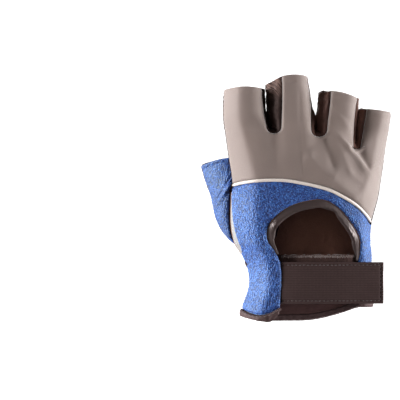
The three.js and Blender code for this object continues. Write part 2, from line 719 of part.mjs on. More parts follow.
function terryPanel() {
  const rows = [];
  const even = (t) => t;
  const closerAtEnds = (t) => lerp(t, (1 - Math.cos(Math.PI * t)) / 2, TERRY_CROWDING);
  const addStretch = (stretch, count, from, spacing) => {
    for (let r = from; r <= count; r += 1) rows.push({ stretch, share: spacing(r / count) });
  };
  addStretch("left", GRID.leg, 0, even);
  addStretch("top", GRID.ventTop, 1, closerAtEnds);
  addStretch("right", GRID.leg, 1, even);
  const lines = rows.map(({ stretch, share }) => {
    const { inner, outer } = terryEdges(stretch, share);
    return evenPoints((across) => {
      const sag = stretch === "left" ? footSag(share, across) : 0;
      const x = lerp(inner.x, outer[0], across);
      const y = lerp(inner.y, outer[1], across) - sag;
      return new THREE.Vector3(x, y, backHeight(x, y));
    }, GRID.terry);
  });
  return gridSheet(rows.length - 1, GRID.terry, (along, across) => {
    const line = lines[Math.round(along * (rows.length - 1))];
    return line[Math.round(across * GRID.terry)];
  }, false);
}
addPiece("terry_panel", shell(terryPanel(), WALL.terry), "terry");

// The vent's rolled leather edge: an oval section swept along the vent, leaning down into it
function ventBinding() {
  const from = shareNear(ventCurve, VENT_ROLL_ENDS.left);
  const to = shareNear(ventCurve, VENT_ROLL_ENDS.right);
  const rings = [];
  const count = 2 * GRID.leg + GRID.ventTop;
  for (let r = 0; r <= count; r += 1) {
    const share = lerp(from, to, r / count);
    const edge = ventCurve(share);
    const nearby = 1 / GRID.curveSearch;
    const along = ventCurve(share + nearby).sub(ventCurve(share - nearby)).normalize();
    const inside = new THREE.Vector3(along.y, -along.x, -VENT_ROLL.tilt).normalize();
    const up = new THREE.Vector3().crossVectors(inside, along).normalize();
    if (up.z < 0) up.negate();
    const centre = new THREE.Vector3(edge.x, edge.y, backHeight(edge.x, edge.y) - VENT_ROLL.thickness / 2);
    centre.addScaledVector(inside, VENT_ROLL.reach + SEAM_GAP);
    const ring = [];
    for (let s = 0; s < VENT_ROLL.sides; s += 1) {
      const angle = (-2 * Math.PI * s) / VENT_ROLL.sides;
      const point = centre.clone().addScaledVector(inside, VENT_ROLL.reach * Math.cos(angle));
      ring.push(point.addScaledVector(up, VENT_ROLL.thickness * Math.sin(angle)));
    }
    rings.push(ring);
  }
  return ringBody(rings);
}
addPiece("vent_binding", ventBinding(), "leather");

// The binding round the wrist's cut edge: over the left leg's foot, round the side, across the palm,
// and a short way up the other side
function cuffBinding() {
  const stations = [];
  const legInner = WRIST_LEG[WRIST_LEG.length - 1].x;
  for (let i = 0; i < GRID.cuffOnLeg; i += 1) {
    const out = Math.sin(((i / GRID.cuffOnLeg) * Math.PI) / 2);
    const x = lerp(legInner, wristEnds[0], out);
    const foot = lerp(VENT[0][1], LEG_FOOT.outer, out) - footSag(0, out);
    stations.push({ upper: true, x, foot, cut: read(WRIST_LEG, "y", x) });
  }
  for (let i = 0; i <= GRID.cuffOnPalm; i += 1) {
    const across = (1 - Math.cos((i / GRID.cuffOnPalm) * Math.PI)) / 2;
    const x = lerp(wristEnds[0], wristEnds[1], across);
    stations.push({ upper: false, across, foot: palmFoot(x), cut: read(WRIST_PALM, "y", x) });
  }
  for (const across of CUFF.returns) {
    stations.push({ upper: true, across, foot: rightLegFoot, cut: read(WRIST_PALM, "y", wristEnds[1]) });
  }
  const place = (station, down) => {
    const y = lerp(station.foot, station.cut, down);
    const [left, right] = [leftSide(y)[0], rightSide(y)[0]];
    const x = station.across === undefined ? Math.max(left, station.x) : lerp(left, right, station.across);
    return new THREE.Vector3(x, y, station.upper ? backHeight(x, y) : palmHeight(x, y));
  };
  return gridSheet(stations.length - 1, GRID.cuffBand, (along, down) => {
    const i = Math.round(along * (stations.length - 1));
    const here = place(stations[i], down);
    const ahead = place(stations[Math.min(i + 1, stations.length - 1)], down);
    const behind = place(stations[Math.max(i - 1, 0)], down);
    const out = new THREE.Vector3(ahead.z - behind.z, 0, behind.x - ahead.x).normalize();
    return here.addScaledVector(out, CUFF.roll * Math.sin(Math.PI * down));
  }, false);
}
addPiece("cuff_binding", shell(cuffBinding(), WALL.binding, CUFF.bevel), "leather");

// The thumb's leather front and terry back: each row is an arch from the inner edge to the outer seam.
// A cubic arch reaches three quarters of the way to its handles, so they are pulled that much further out.
const CREST_PULL = 4 / 3;
function thumbSheet(inner, crest, faceUp) {
  const point = (name, row) => {
    const [x, y, z] = ["X", "Y", "Z"].map((axis) => read(THUMB, name + axis, row));
    return new THREE.Vector3(x, y, z);
  };
  const lastRow = THUMB.length - 1;
  return gridSheet(GRID.thumb, GRID.thumbAcross, (along, across) => {
    const row = along * lastRow;
    const [from, to] = [point(inner, row), point("outer", row)];
    const middle = new THREE.Vector3().addVectors(from, to).divideScalar(2);
    const rise = point(crest, row).sub(middle).multiplyScalar(CREST_PULL);
    const arc = new THREE.CubicBezierCurve3(from, from.clone().add(rise), to.clone().add(rise), to);
    const place = arc.getPoint(across);
    place.z = Math.max(place.z, THUMB_REST);
    return place;
  }, faceUp);
}
addPiece("thumb_palm", shell(thumbSheet("front", "low", false), WALL.leather), "leather");
addPiece("thumb_back", shell(thumbSheet("back", "high", true), WALL.terry, SIDE_SEAM.bevel), "terry");

// The padded panel: its rings go round under the palm and back along the leather
function palmPad() {
  const outline = new THREE.CatmullRomCurve3(PAD_OUTLINE.map(([x, y]) => new THREE.Vector3(x, y, 0)), true);
  const ring = (scale, depth) =>
    Array.from({ length: GRID.pad }, (_, i) => {
      const edge = outline.getPointAt(i / GRID.pad);
      const x = lerp(PAD_CENTRE[0], edge.x, scale);
      const y = lerp(PAD_CENTRE[1], edge.y, scale);
      const top = palmHeight(x, y) - PAD_GAP;
      return new THREE.Vector3(x, y, lerp(top, Math.max(0, top - PAD_THICKNESS), depth));
    });
  const top = PAD_TOP_RINGS.map((scale) => ring(scale, 0));
  return ringBody([...top, ...PAD_RINGS.map(({ scale, depth }) => ring(scale, depth))]);
}
addPiece("palm_pad", palmPad(), "leather");

// A flat band whose top follows a table of heights, a little lower towards the wrist
function flatBand({ left, right, top, bottom, thickness }, columns, heightAt) {
  const sheet = gridSheet(columns, 1, (along, down) => {
    const x = lerp(left, right, along);
    const y = lerp(top, bottom, down);
    return new THREE.Vector3(x, y, heightAt(x) + STRAP_LEAN * (y - STRAP.top));
  }, true);
  return shell(sheet, thickness, 0, 0);
}
const strapHeight = (x) => read(STRAP_TOP, "z", x);
const underlapHeight = (x) => read(UNDERLAP_TOP, "z", x);
const hookHeight = (x) => strapHeight(x) - STRAP.thickness - SEAM_GAP;
addPiece("closure_strap", flatBand(STRAP, GRID.strap, strapHeight), "webbing");
addPiece("loop_tab", flatBand(UNDERLAP, GRID.strap, underlapHeight), "webbing");
addPiece("hook_tape", flatBand(HOOK_TAPE, 3, hookHeight), "webbing");

// The origin is under the middle of the glove's box
const box = new THREE.Box3().setFromObject(group);
const middle = box.getCenter(new THREE.Vector3());
group.children.forEach((mesh) => mesh.geometry.translate(-middle.x, -middle.y, -box.min.z));

export default group;
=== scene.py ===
# %% [markdown]
# # A half-finger work glove
#
# This lesson dresses a right-hand work glove that lies palm down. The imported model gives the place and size
# of every piece. Here each panel becomes a fine sheet of cloth or leather, with a turned-in seam, a wall of
# its own and a weave, pile or grain that follows it.

# %% Load the frame
import math

import bmesh
import bpy
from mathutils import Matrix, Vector, noise
from mathutils.bvhtree import BVHTree
from mathutils.kdtree import KDTree


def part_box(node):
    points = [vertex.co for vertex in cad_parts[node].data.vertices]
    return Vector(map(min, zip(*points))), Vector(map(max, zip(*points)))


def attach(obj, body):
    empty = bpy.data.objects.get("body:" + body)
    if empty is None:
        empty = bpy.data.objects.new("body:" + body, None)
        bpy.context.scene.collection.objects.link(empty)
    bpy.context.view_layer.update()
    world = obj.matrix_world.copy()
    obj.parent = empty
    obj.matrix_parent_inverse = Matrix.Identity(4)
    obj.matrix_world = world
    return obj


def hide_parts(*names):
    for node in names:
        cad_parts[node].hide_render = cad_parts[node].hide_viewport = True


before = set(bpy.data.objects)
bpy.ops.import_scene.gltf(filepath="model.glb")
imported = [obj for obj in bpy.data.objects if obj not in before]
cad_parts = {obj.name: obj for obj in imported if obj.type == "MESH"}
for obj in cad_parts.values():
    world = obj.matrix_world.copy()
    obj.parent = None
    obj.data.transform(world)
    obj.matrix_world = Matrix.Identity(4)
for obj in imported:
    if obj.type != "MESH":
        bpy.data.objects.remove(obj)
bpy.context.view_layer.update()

print("pieces in the frame:", len(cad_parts))

# %% [markdown]
# A glove is cut from flat panels, so its shape is written as a few tables: the hand's cross-sections from
# the wrist to the fingers, and the outlines of the panels seen from above. All of them are in millimetres.
# A smooth curve through a table's rows gives every size in between. A table is easier to read and to change
# than a mesh, and neighbours that share a table meet exactly.

# %% Tables and how they are read
MM = 0.001


def table(columns, rows):
    names = columns.split()
    return [dict(zip(names, row)) for row in rows]


def lerp(a, b, t):
    return a + (b - a) * t


def clamp(value, low=0.0, high=1.0):
    return min(high, max(low, value))


def ease(t):
    t = clamp(t)
    return t * t * (3 - 2 * t)


def read(rows, column, place):
    """A smooth curve through one column, read at a place along the table's first column."""
    key = next(iter(rows[0]))
    last = len(rows) - 1
    at = clamp(place, rows[0][key], rows[last][key])
    i = 0
    while i < last - 1 and rows[i + 1][key] < at:
        i += 1

    def slope(a, b):
        return (rows[b][column] - rows[a][column]) / (rows[b][key] - rows[a][key])

    span = rows[i + 1][key] - rows[i][key]
    start = slope(i - 1, i + 1) if i > 0 else slope(0, 1)
    end = slope(i, i + 2) if i < last - 1 else slope(last - 1, last)
    t = (at - rows[i][key]) / span
    rise = rows[i + 1][column] - rows[i][column]
    bend = t * (1 - t) * ((1 - t) * (start * span - rise) - t * (end * span - rise))
    return rows[i][column] + rise * t + bend


def run_of(path):
    """How far along a path each of its points is."""
    far = [0.0]
    for a, b in zip(path, path[1:]):
        far.append(far[-1] + (b - a).length)
    return far


class PlanCurve:
    """A smooth curve through plan points, read by the share of its length."""

    def __init__(self, points, closed=False, steps=24):
        knots = [Vector((x, y, 0)) for x, y in points]
        count = len(knots)
        self.line = []
        for i in range(count if closed else count - 1):
            p1, p2 = knots[i], knots[(i + 1) % count]
            p0 = knots[i - 1] if closed or i > 0 else 2 * p1 - p2
            p3 = knots[(i + 2) % count] if closed or i + 2 < count else 2 * p2 - p1
            t1 = (p1 - p0).length ** 0.5
            t2 = t1 + (p2 - p1).length ** 0.5
            t3 = t2 + (p3 - p2).length ** 0.5
            for s in range(steps):
                t = lerp(t1, t2, s / steps)
                a1 = p0.lerp(p1, t / t1)
                a2 = p1.lerp(p2, (t - t1) / (t2 - t1))
                a3 = p2.lerp(p3, (t - t2) / (t3 - t2))
                b1 = a1.lerp(a2, t / t2)
                b2 = a2.lerp(a3, (t - t1) / (t3 - t1))
                self.line.append(b1.lerp(b2, (t - t1) / (t2 - t1)))
        self.line.append(knots[0] if closed else knots[-1])
        self.far = run_of(self.line)
        self.length = self.far[-1]

    def __call__(self, share):
        target = clamp(share) * self.length
        low, high = 0, len(self.far) - 1
        while high - low > 1:
            middle = (low + high) // 2
            if self.far[middle] <= target:
                low = middle
            else:
                high = middle
        span = self.far[high] - self.far[low]
        return self.line[low].lerp(self.line[high], (target - self.far[low]) / span)

    def nearest(self, x, y):
        """The share of the length that lies nearest to a plan point."""
        spot = Vector((x, y, 0))
        best = min(range(len(self.line)), key=lambda i: (self.line[i] - spot).length)
        return self.far[best] / self.length


# %% The hand's tables
HAND = table("y left right left_seam right_seam top under", [
    (-82, -36.3, 51, 13, 12.5, 25.5, 1.6),
    (-71, -35.2, 50.6, 13, 12.6, 26.5, 1.8),
    (-57, -30.9, 50, 13.6, 12.8, 27.8, 2.8),
    (-45, -31.9, 50.1, 14.4, 13, 28.8, 3),
    (-36, -36, 49.9, 15.2, 13, 29.4, 3),
    (-29, -40.1, 49.1, 16, 13, 30, 3),
    (-16, -42.3, 49.7, 17.6, 13, 31.2, 3),
    (0, -42.1, 53.9, 19.2, 12.6, 32.2, 3),
    (12, -41.7, 56, 20.5, 12, 32.5, 3),
    (25, -43.6, 58, 21, 11.6, 31.8, 3.4),
    (38, -45.5, 60.1, 20.5, 11.5, 30, 4.5),
    (50, -47.1, 62, 19.6, 11.5, 28.4, 6),
    (58, -47.4, 62.1, 19, 11.5, 27.6, 6.5),
    (72, -46.5, 61, 18.2, 11.5, 27, 7),
])
BACK_TILT = -2.5
BACK_FULLNESS = 2.4
PALM_FULLNESS = {"left": 2, "right": 4}

STALL_COLUMNS = "y left right under top"
STALLS = [
    table(STALL_COLUMNS, [
        (36, -45.3, -16.6, 11, 30),
        (44, -46.4, -17.7, 11, 29.6),
        (57, -47.4, -19.6, 10, 29),
        (73, -46.4, -20.5, 8.8, 27.6),
    ]),
    table(STALL_COLUMNS, [
        (36, -16, 13, 7.5, 29),
        (46, -17, 12.4, 8, 28.6),
        (60, -18.2, 10.8, 8, 27.8),
        (80.5, -18.7, 7.9, 7.6, 26.4),
    ]),
    table(STALL_COLUMNS, [
        (30, 13, 38, 6, 27),
        (46, 13.9, 39.1, 6, 26.4),
        (58, 15.4, 40.2, 6, 25.6),
        (70.5, 16.4, 41, 5.6, 24.4),
    ]),
    table(STALL_COLUMNS, [
        (28, 38.6, 58.5, 4.2, 23),
        (38, 39.5, 60.1, 4.2, 22.4),
        (50, 41, 62.1, 4, 21.6),
        (59, 41.8, 61.6, 4, 20.4),
    ]),
]
STALL_FULLNESS = 2.3
STALL_BLEND = 14

SLOT_COLUMNS = (
    "x y radius left_mid_x left_mid_y left_top_x left_top_y right_mid_x right_mid_y right_top_x right_top_y"
)
BACK_SLOTS = table(SLOT_COLUMNS, [
    (-14, 41.9, 4.5, -20.3, 59, -21.9, 71.3, -8.9, 63, -8.8, 79.3),
    (15.3, 39.7, 4.9, 10.4, 62, 7.4, 79.4, 21.3, 55, 23.1, 69.8),
    (40, 31.6, 2.1, 38.7, 50, 40.4, 65.2, 43.7, 45, 46.4, 58),
])
PALM_SLOTS = table(SLOT_COLUMNS, [
    (-17.8, 44.6, 2.6, -22.6, 59, -25, 71.6, -15.6, 60, -17.2, 74.6),
    (12.5, 42.8, 2.3, 8.8, 62, 7, 78.6, 15.8, 57, 17.6, 70.2),
    (38, 36.4, 2, 36.9, 50, 38.6, 65.4, 41.1, 46, 42.6, 58.6),
])
WEB_DIP = {"back": 1.7, "palm": 2.6, "width": 6.5, "length": 17}
KNUCKLES = {"left": 42, "right": 35, "bulge": 1.6}
CUT_EDGE = {"index_left": 70.4, "little_right": 56, "crown": (1.6, 0.9, 0.8, 0.2)}

PIPING_RADIUS = 1.05
PIPING = table("x y", [
    (-41.4, 8), (-36, 9.5), (-29.5, 10.6), (-22, 11.3), (-14, 11.5), (-6, 11.2), (3, 9.7), (13, 7.6),
    (22.5, 4.8), (31, 0.5), (39, -4.5), (45.2, -10.3), (49.8, -16.4),
])
PIPING_ENDS = (PIPING[0]["x"], PIPING[-1]["x"])

VENT = PlanCurve([
    (-10.3, -70.6), (-9.5, -58), (-10.2, -43), (-13.8, -34.6), (-18.4, -27.5), (-18.2, -19), (-13.5, -12.3),
    (-4, -5.4), (8, -1.7), (17.5, -1.1), (26, -5), (35.5, -15.2), (41.5, -26), (42, -35), (40.8, -42),
    (40.8, -65.8),
])
VENT_LEFT = VENT.nearest(-13.5, -12.3)
VENT_RIGHT = VENT.nearest(35.5, -15.2)
LEG_FOOT = {"top": -70.6, "outer": -71.6, "sag": 5, "roundness": 0.8}

FOLD_COLUMNS = "x0 y0 x1 y1 height low_side high_side"
FOLDS = table(FOLD_COLUMNS, [
    (29.6, 39, 35.6, 32.2, 1.1, 2.2, 2.2),
    (35.8, 32.2, 46.2, 19.3, 1.2, 4.2, 0.9),
    (30.5, 34.5, 43, 16.6, -0.12, 1.6, 1.6),
    (29.4, 31.2, 35.6, 16.9, 0.4, 2.4, 2.4),
    (35.6, 16.9, 46, 6.5, 0.4, 3, 2.6),
    (18.8, 39.5, 23.6, 22, -1, 3.2, 3),
    (5.6, 46, 6.4, 37, 0.5, 3.5, 3.5),
    (9.5, 26.5, 19.6, 15.4, 1.5, 5, 6.5),
    (24.7, 11.2, 38.8, 1, 2.1, 4.5, 6.5),
    (41.6, 29, 45.6, 22.4, -1.5, 1.4, 3.6),
    (2.3, 66, 4.2, 18, -0.22, 1.3, 1.8),
    (-14, 34, -12, 18, -0.5, 7, 7),
    (20, 66, 34, 46, 0.3, 2, 2),
    (24, 58, 36, 50, -0.25, 1.6, 1.6),
])

THENAR_START = -40.6
THENAR = [(-27.5, -38.2), (-19.5, -32.8), (-13.4, -24.5), (-10.9, -12), (-10.8, 2), (-12.4, 12.6)]
DIAGONAL = PlanCurve([(-12.4, 12.6), (-18, 22), (-29.4, 35.4), (-31.6, 41)])
STRIP_FRONT = table("y x", [(41, -31.6), (54.5, -34.2), (71.2, -39.4)])
CROTCH_Y = 11.2
CUFF = {"band": 5.2, "roll": 0.6, "returns": (0.988, 0.952, 0.892)}
WRIST_PALM = table("x y", [
    (-36, -77), (-23, -80), (-5, -80.4), (9.4, -80), (20, -78.2), (30, -75.5), (42, -71.6), (51, -71),
])
WRIST_LEG = table("x y", [(-36, -77), (-29.6, -78.8), (-19, -80.6), (-15, -79.6), (-10.6, -75.2)])
WRIST_ENDS = (WRIST_PALM[0]["x"], WRIST_PALM[-1]["x"])

THUMB_COLUMNS = (
    "row front_x front_y front_z back_x back_y back_z outer_x outer_y outer_z"
    " low_x low_y low_z high_x high_y high_z"
)
THUMB = table(THUMB_COLUMNS, [
    (0, -38.9, 22.6, 8.6, -38.9, 22.6, 8.6, -61.4, 20.6, 6.6, -50, 24.6, 0.8, -43.5, 26.2, 17.4),
    (1, -38.9, 16.6, 10, -38.9, 16.6, 10, -59.8, 13.4, 6.2, -49.5, 15.5, 0.7, -43.5, 17, 18),
    (2, -40.2, 13.2, 13, -40.2, 13.2, 13, -57.4, 6.5, 5.8, -48.5, 9.5, 0.7, -44.5, 10.5, 18),
    (3, -40.9, 10.8, 16.4, -42.3, 8.4, 19, -55.6, 1.8, 5.4, -46.5, 6.4, 0.7, -48.6, 5.4, 16.6),
    (4, -33, 11.2, 9.9, -42.6, 3, 19.2, -53.6, -2.4, 5, -43, 4.6, 0.7, -50.8, 0, 13.6),
    (5, -22, 11.8, 6.3, -42.7, -3.5, 18.6, -51.9, -7, 4.8, -37, 2.4, 0.7, -51, -5.6, 13.8),
    (6, -13, 12.2, 4.7, -42.8, -9.8, 18, -50.4, -13, 4.8, -31, -1.6, 0.8, -50.2, -12, 13.4),
    (7, -11.4, 2, 4.2, -42.7, -16, 17.3, -48, -18.6, 5, -29, -8.5, 0.8, -48.4, -18, 12.6),
    (8, -11.5, -12, 4, -42.2, -22, 16.5, -44.8, -23.8, 5.4, -28, -18, 0.9, -45.6, -23.4, 12),
    (9, -14.1, -24, 4, -40.3, -27.6, 15.3, -40, -28.8, 6.4, -27.2, -27, 1.2, -40.6, -28.4, 11.6),
    (10, -20, -32.1, 4.3, -37.2, -31.8, 14.5, -36, -33.2, 8.4, -28.8, -33, 2, -36.4, -32.6, 11.8),
    (11, -27.9, -37.2, 5.6, -34.6, -35.4, 13.8, -33.6, -36.4, 10.6, -31.2, -37.2, 5, -33.8, -36, 12.2),
    (12, -32.4, -39.8, 13, -32.9, -39.2, 13.2, -32.7, -39.4, 12.4, -32.5, -39.6, 12, -32.9, -39.2, 12.8),
])
THUMB_REST = 0.6
CREST_PULL = 4 / 3

PAD_OUTLINE = PlanCurve([
    (-26.5, 34.6), (-4, 36.6), (24, 37.4), (37, 32.5), (41.6, 19), (40.2, -7), (36, -40), (28, -54),
    (15, -58.8), (1.5, -54), (-5, -42), (-7.6, -20), (-8.2, 6), (-10.4, 17.5), (-17.5, 25.5),
], closed=True)
PAD_CENTRE = Vector((11, 6, 0))
PAD = {"gap": 0.35, "thickness": 3, "seam": 2.2, "second_seam": 4.6, "groove": 0.5}
FLOOR_GAP = 0.02
AIR = {"cell": 1.35, "pressure": 4, "most": 1.3}

STRAP = {"left": -21, "right": 57, "top": -41.6, "bottom": -68.6, "thickness": 2.6, "lean": 0.06}
STRAP_SEAM = {"inset": 1.9, "depth": 0.55, "start": -9}
UNDERLAP = {"left": -19, "right": 45.5, "top": -36.8, "bottom": -66.5, "thickness": 1.3}
HOOK_TAPE = {"left": 46.5, "right": 56, "top": -43.4, "bottom": -66.6, "thickness": 1.1}
STRAP_TOP = table("x z", [
    (-21, 23.2), (-10.5, 27.6), (-2, 29.2), (8, 30), (18, 30), (28, 29.2), (36, 28.2), (42, 27.4), (57, 25.4),
])
UNDERLAP_TOP = table("x z", [
    (-19, 20.1), (-10.5, 23.4), (-2, 25.3), (8, 26.6), (18, 26.8), (27, 26), (34, 24), (38.5, 21), (45.5, 15),
])

WALL = {"cloth": 1.3, "terry": 1.9, "leather": 1.2, "side": 1.0, "binding": 2.1}
PILE_HEIGHT = 0.5
print("vent edge:", round(VENT.length), "mm; pad outline:", round(PAD_OUTLINE.length), "mm")

# %% [markdown]
# The tables have an origin of their own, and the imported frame's origin is under the middle of the glove.
# The tab under the strap is a plain band with known edges, so comparing it with its packed box gives the
# step from one origin to the other.

# %% From the tables to the frame
tab_low, tab_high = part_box("loop_tab")
SHIFT = Vector((tab_high[0] / MM - UNDERLAP["right"], tab_low[1] / MM - UNDERLAP["bottom"], 0))


def to_frame(point):
    """A place in the tables' millimetres as a place in the frame's metres."""
    return (Vector(point) + SHIFT) * MM


print("shift:", [round(v, 3) for v in SHIFT])

# %% [markdown]
# Two height fields shape the glove: the back of the hand and the palm. Each is an arch from one side seam to
# the other. A fold adds a ridge along a line, steeper on one side, and the cloth is drawn in below each slot
# between the fingers. Above the knuckles the hand's arch turns into four smaller arches, the finger stalls.

# %% Height of the skin
def arch(across, fullness):
    return (1 - abs(clamp(across, -1, 1)) ** fullness) ** (1 / fullness)


def fold_height(x, y, folds):
    height = 0.0
    for fold in folds:
        dx, dy = fold["x1"] - fold["x0"], fold["y1"] - fold["y0"]
        length = math.hypot(dx, dy)
        along = ((x - fold["x0"]) * dx + (y - fold["y0"]) * dy) / length
        aside = ((x - fold["x0"]) * dy - (y - fold["y0"]) * dx) / length
        past = max(0.0, -along, along - length)
        width = fold["low_side"] if aside > 0 else fold["high_side"]
        height += fold["height"] * math.exp(-(abs(aside / width) ** 1.7) - (past / 4) ** 2)
    return height


def calm_feet(x, y, slots=BACK_SLOTS, start=0.3, end=3.3):
    """0 at the foot of each slot, where the panel is sewn tight, and 1 a little away from it."""
    share = 1.0
    for slot in slots:
        far = math.hypot(x - slot["x"], y - slot["y"] - slot["radius"]) - slot["radius"]
        share = min(share, ease((far - start) / (end - start)))
    return share


def web_dip(slots, depth, x, y):
    """The cloth is drawn in below each slot, less and less towards the wrist."""
    total = 0.0
    for slot in slots:
        below = max(0.0, slot["y"] - y)
        across = (x - slot["x"]) / WEB_DIP["width"]
        total += depth * math.exp(-(across ** 2) - (below / WEB_DIP["length"]) ** 2)
    return total


def hand_span(x, y):
    """How far across the hand a place is, from -1 to 1, and how high the seam on its side lies."""
    left, right = read(HAND, "left", y), read(HAND, "right", y)
    across = (2 * x - left - right) / (right - left)
    return across, read(HAND, "left_seam" if across < 0 else "right_seam", y)


def hand_arch(x, y):
    """The back of the hand: one arch from seam to seam, with the folds of the cloth on it."""
    across, seam = hand_span(x, y)
    full = arch(across, BACK_FULLNESS)
    crest = read(HAND, "top", y) + BACK_TILT * across
    relief = fold_height(x, y, FOLDS) * calm_feet(x, y) - web_dip(BACK_SLOTS, WEB_DIP["back"], x, y)
    return seam + (crest - seam + relief) * full


FLANKS = table("y left right", [
    (-80, 13, 5), (-50, 13, 5), (-27, 15, 6), (0, 15.5, 10), (22, 14.5, 7), (36, 12.8, 7), (50, 11, 6.5),
    (71, 10, 6),
])
FLANK_SHARE = {"left": 0.8, "right": 0.3}


def flatten_flanks(x, y, height_at):
    """The cloth is drawn straight from the side seam to the top of the hand, and bends softly there."""
    z = height_at(x, y)
    for side, sign in (("left", 1), ("right", -1)):
        edge, wide = read(HAND, side, y), read(FLANKS, side, y)
        u = sign * (x - edge) / wide
        if 0 <= u < 1.7:
            flat, seam = height_at(edge + sign * 1.7 * wide, y), read(HAND, side + "_seam", y)
            bend = (u + 1 - math.sqrt((u - 1) ** 2 + 0.06)) / 2 + 0.0148 * (1 - u)
            z = lerp(z, seam + (flat - seam) * bend, FLANK_SHARE[side] * (1 - ease((u - 1) / 0.7)))
    return z


def back_height(x, y):
    return flatten_flanks(x, y, hand_arch)


def palm_height(x, y):
    across, seam = hand_span(x, y)
    full = arch(across, PALM_FULLNESS["left" if across < 0 else "right"])
    return seam + (read(HAND, "under", y) - seam) * full + full * web_dip(PALM_SLOTS, WEB_DIP["palm"], x, y)


def stall_side(finger, side, y):
    """The x of a finger stall's side. The two outer ones are the hand's own sides."""
    on_hand = (finger, side) in ((0, "left"), (3, "right"))
    return read(HAND if on_hand else STALLS[finger], side, y)


def stall_height(finger, side, x, y):
    left, right = stall_side(finger, "left", y), stall_side(finger, "right", y)
    across = clamp((2 * x - left - right) / (right - left), -1, 1)
    middle = (read(STALLS[finger], "under", y) + read(STALLS[finger], "top", y)) / 2
    rise = read(STALLS[finger], side, y) - middle
    folds = fold_height(x, y, FOLDS) * calm_feet(x, y) if side == "top" else 0
    return middle + rise * arch(across, STALL_FULLNESS) + folds


def skin_point(finger, side, x, y, knee_y):
    """A point of the back or the palm, which turns from the hand's arch to the stall's above the knuckles."""
    weight = ease((y - knee_y) / STALL_BLEND)

    def height_at(x, y):
        hand = hand_arch(x, y) if side == "top" else palm_height(x, y)
        return lerp(hand, stall_height(finger, side, x, y), weight) if weight > 0 else hand

    return Vector((x, y, flatten_flanks(x, y, height_at) if side == "top" else height_at(x, y)))


print("crest over the knuckles:", round(back_height(5, 30), 1), "mm above the floor")

# %% [markdown]
# A panel starts as a net of points with four-sided faces. Each point also keeps its place on the flat cloth,
# measured along the net's rows and columns, so that a weave keeps its scale where the panel turns under.

# %% Nets of points


class Net:
    def __init__(self):
        self.points, self.faces, self.flat, self.cut = [], [], [], set()

    def add(self, point):
        self.points.append(Vector(point))
        self.flat.append((0.0, 0.0))
        return len(self.points) - 1

    def join_rows(self, rows, face_up):
        for upper, lower in zip(rows, rows[1:]):
            for c in range(len(upper) - 1):
                face = (upper[c], upper[c + 1], lower[c + 1], lower[c])
                self.faces.append(face if face_up else face[::-1])

    def lay_flat(self, rows, start_v=None, middle_u=0.0):
        """Place of each point on the flat cloth: along a row from its middle, down a column from its top."""
        far = lambda a, b: (self.points[a] - self.points[b]).length
        width, middle = len(rows[0]), len(rows[0]) // 2
        v = list(start_v or [0.0] * width)
        for r, row in enumerate(rows):
            if r:
                v = [v[c] + far(row[c], rows[r - 1][c]) for c in range(width)]
            u = [middle_u] * width
            for c in range(middle + 1, width):
                u[c] = u[c - 1] + far(row[c], row[c - 1])
            for c in range(middle - 1, -1, -1):
                u[c] = u[c + 1] - far(row[c], row[c + 1])
            for c, i in enumerate(row):
                self.flat[i] = (u[c], v[c])

    def normals(self):
        total = [Vector() for _ in self.points]
        for a, b, c, d in self.faces:
            normal = (self.points[c] - self.points[a]).cross(self.points[d] - self.points[b])
            for i in (a, b, c, d):
                total[i] += normal
        return [normal.normalized() for normal in total]

    def push(self, height_at):
        """Moves each point along its normal, by a height that follows from its number, place and normal."""
        for i, (point, normal) in enumerate(zip(self.points, self.normals())):
            self.points[i] = point + normal * height_at(i, point, normal)

    def flat_area(self):
        """The area of all the faces, in square metres."""
        total = 0.0
        p = self.points
        for a, b, c, d in self.faces:
            total += (p[c] - p[a]).cross(p[d] - p[b]).length / 2
        return total * MM * MM

    def border(self):
        """Each border point with the one that follows it."""
        taken = {(f[i], f[(i + 1) % 4]) for f in self.faces for i in range(4)}
        return {a: b for a, b in taken if (b, a) not in taken}


def grid_net(row_count, column_count, point_at, face_up):
    net = Net()
    rows = [
        [net.add(point_at(r / row_count, c / column_count)) for c in range(column_count + 1)]
        for r in range(row_count + 1)
    ]
    net.join_rows(rows, face_up)
    net.lay_flat(rows)
    net.rows = rows
    net.area = net.flat_area()
    return net


# %% [markdown]
# A sewn edge turns in: the panel's last millimetre or two bends down into the seam. A cut or hemmed edge
# stays up, and a hem stands a little proud because the cloth is double there. Both are made by asking how
# far each point is from the border, and moving it along its normal.

# %% Edges of a panel
SEAM = {"gap": 0.05, "depth": 0.75, "reach": 1.9}


def distances(net, targets):
    """How far each point is from the nearest of some of the net's own points."""
    if not targets:
        return [99.0] * len(net.points)
    tree = KDTree(len(targets))
    for i in targets:
        tree.insert(net.points[i], i)
    tree.balance()
    return [tree.find(point)[2] for point in net.points]


def turn_in(net, depth=SEAM["depth"], reach=SEAM["reach"], keep=()):
    """Bends the sewn borders down, with a hair's gap in the seam. Returns each point's distance to it."""
    normals = net.normals()
    follow = net.border()
    before = {b: a for a, b in follow.items()}
    sewn = [i for i in follow if i not in net.cut and i not in keep]
    far = distances(net, sewn)
    moved = [point.copy() for point in net.points]
    for i, point in enumerate(net.points):
        if far[i] < reach:
            moved[i] -= normals[i] * depth * (1 - far[i] / reach) ** 2
    for i in sewn:
        along = net.points[follow[i]] - net.points[before[i]]
        moved[i] += normals[i].cross(along).normalized() * SEAM["gap"]
    net.points = moved
    return far


def raise_hem(net, targets, width, height):
    """A double layer of cloth along a cut edge, with a groove where it is sewn down."""
    far = distances(net, targets)

    def height_at(i, point, normal):
        step = height * (1 - ease((far[i] - width + 0.5) / 1.0))
        groove = 0.55 * height * math.exp(-(((far[i] - width * 0.86) / 0.45) ** 2))
        rounding = 0.35 * math.exp(-((far[i] / 0.7) ** 2))
        return step - groove - rounding

    net.push(height_at)
    return far


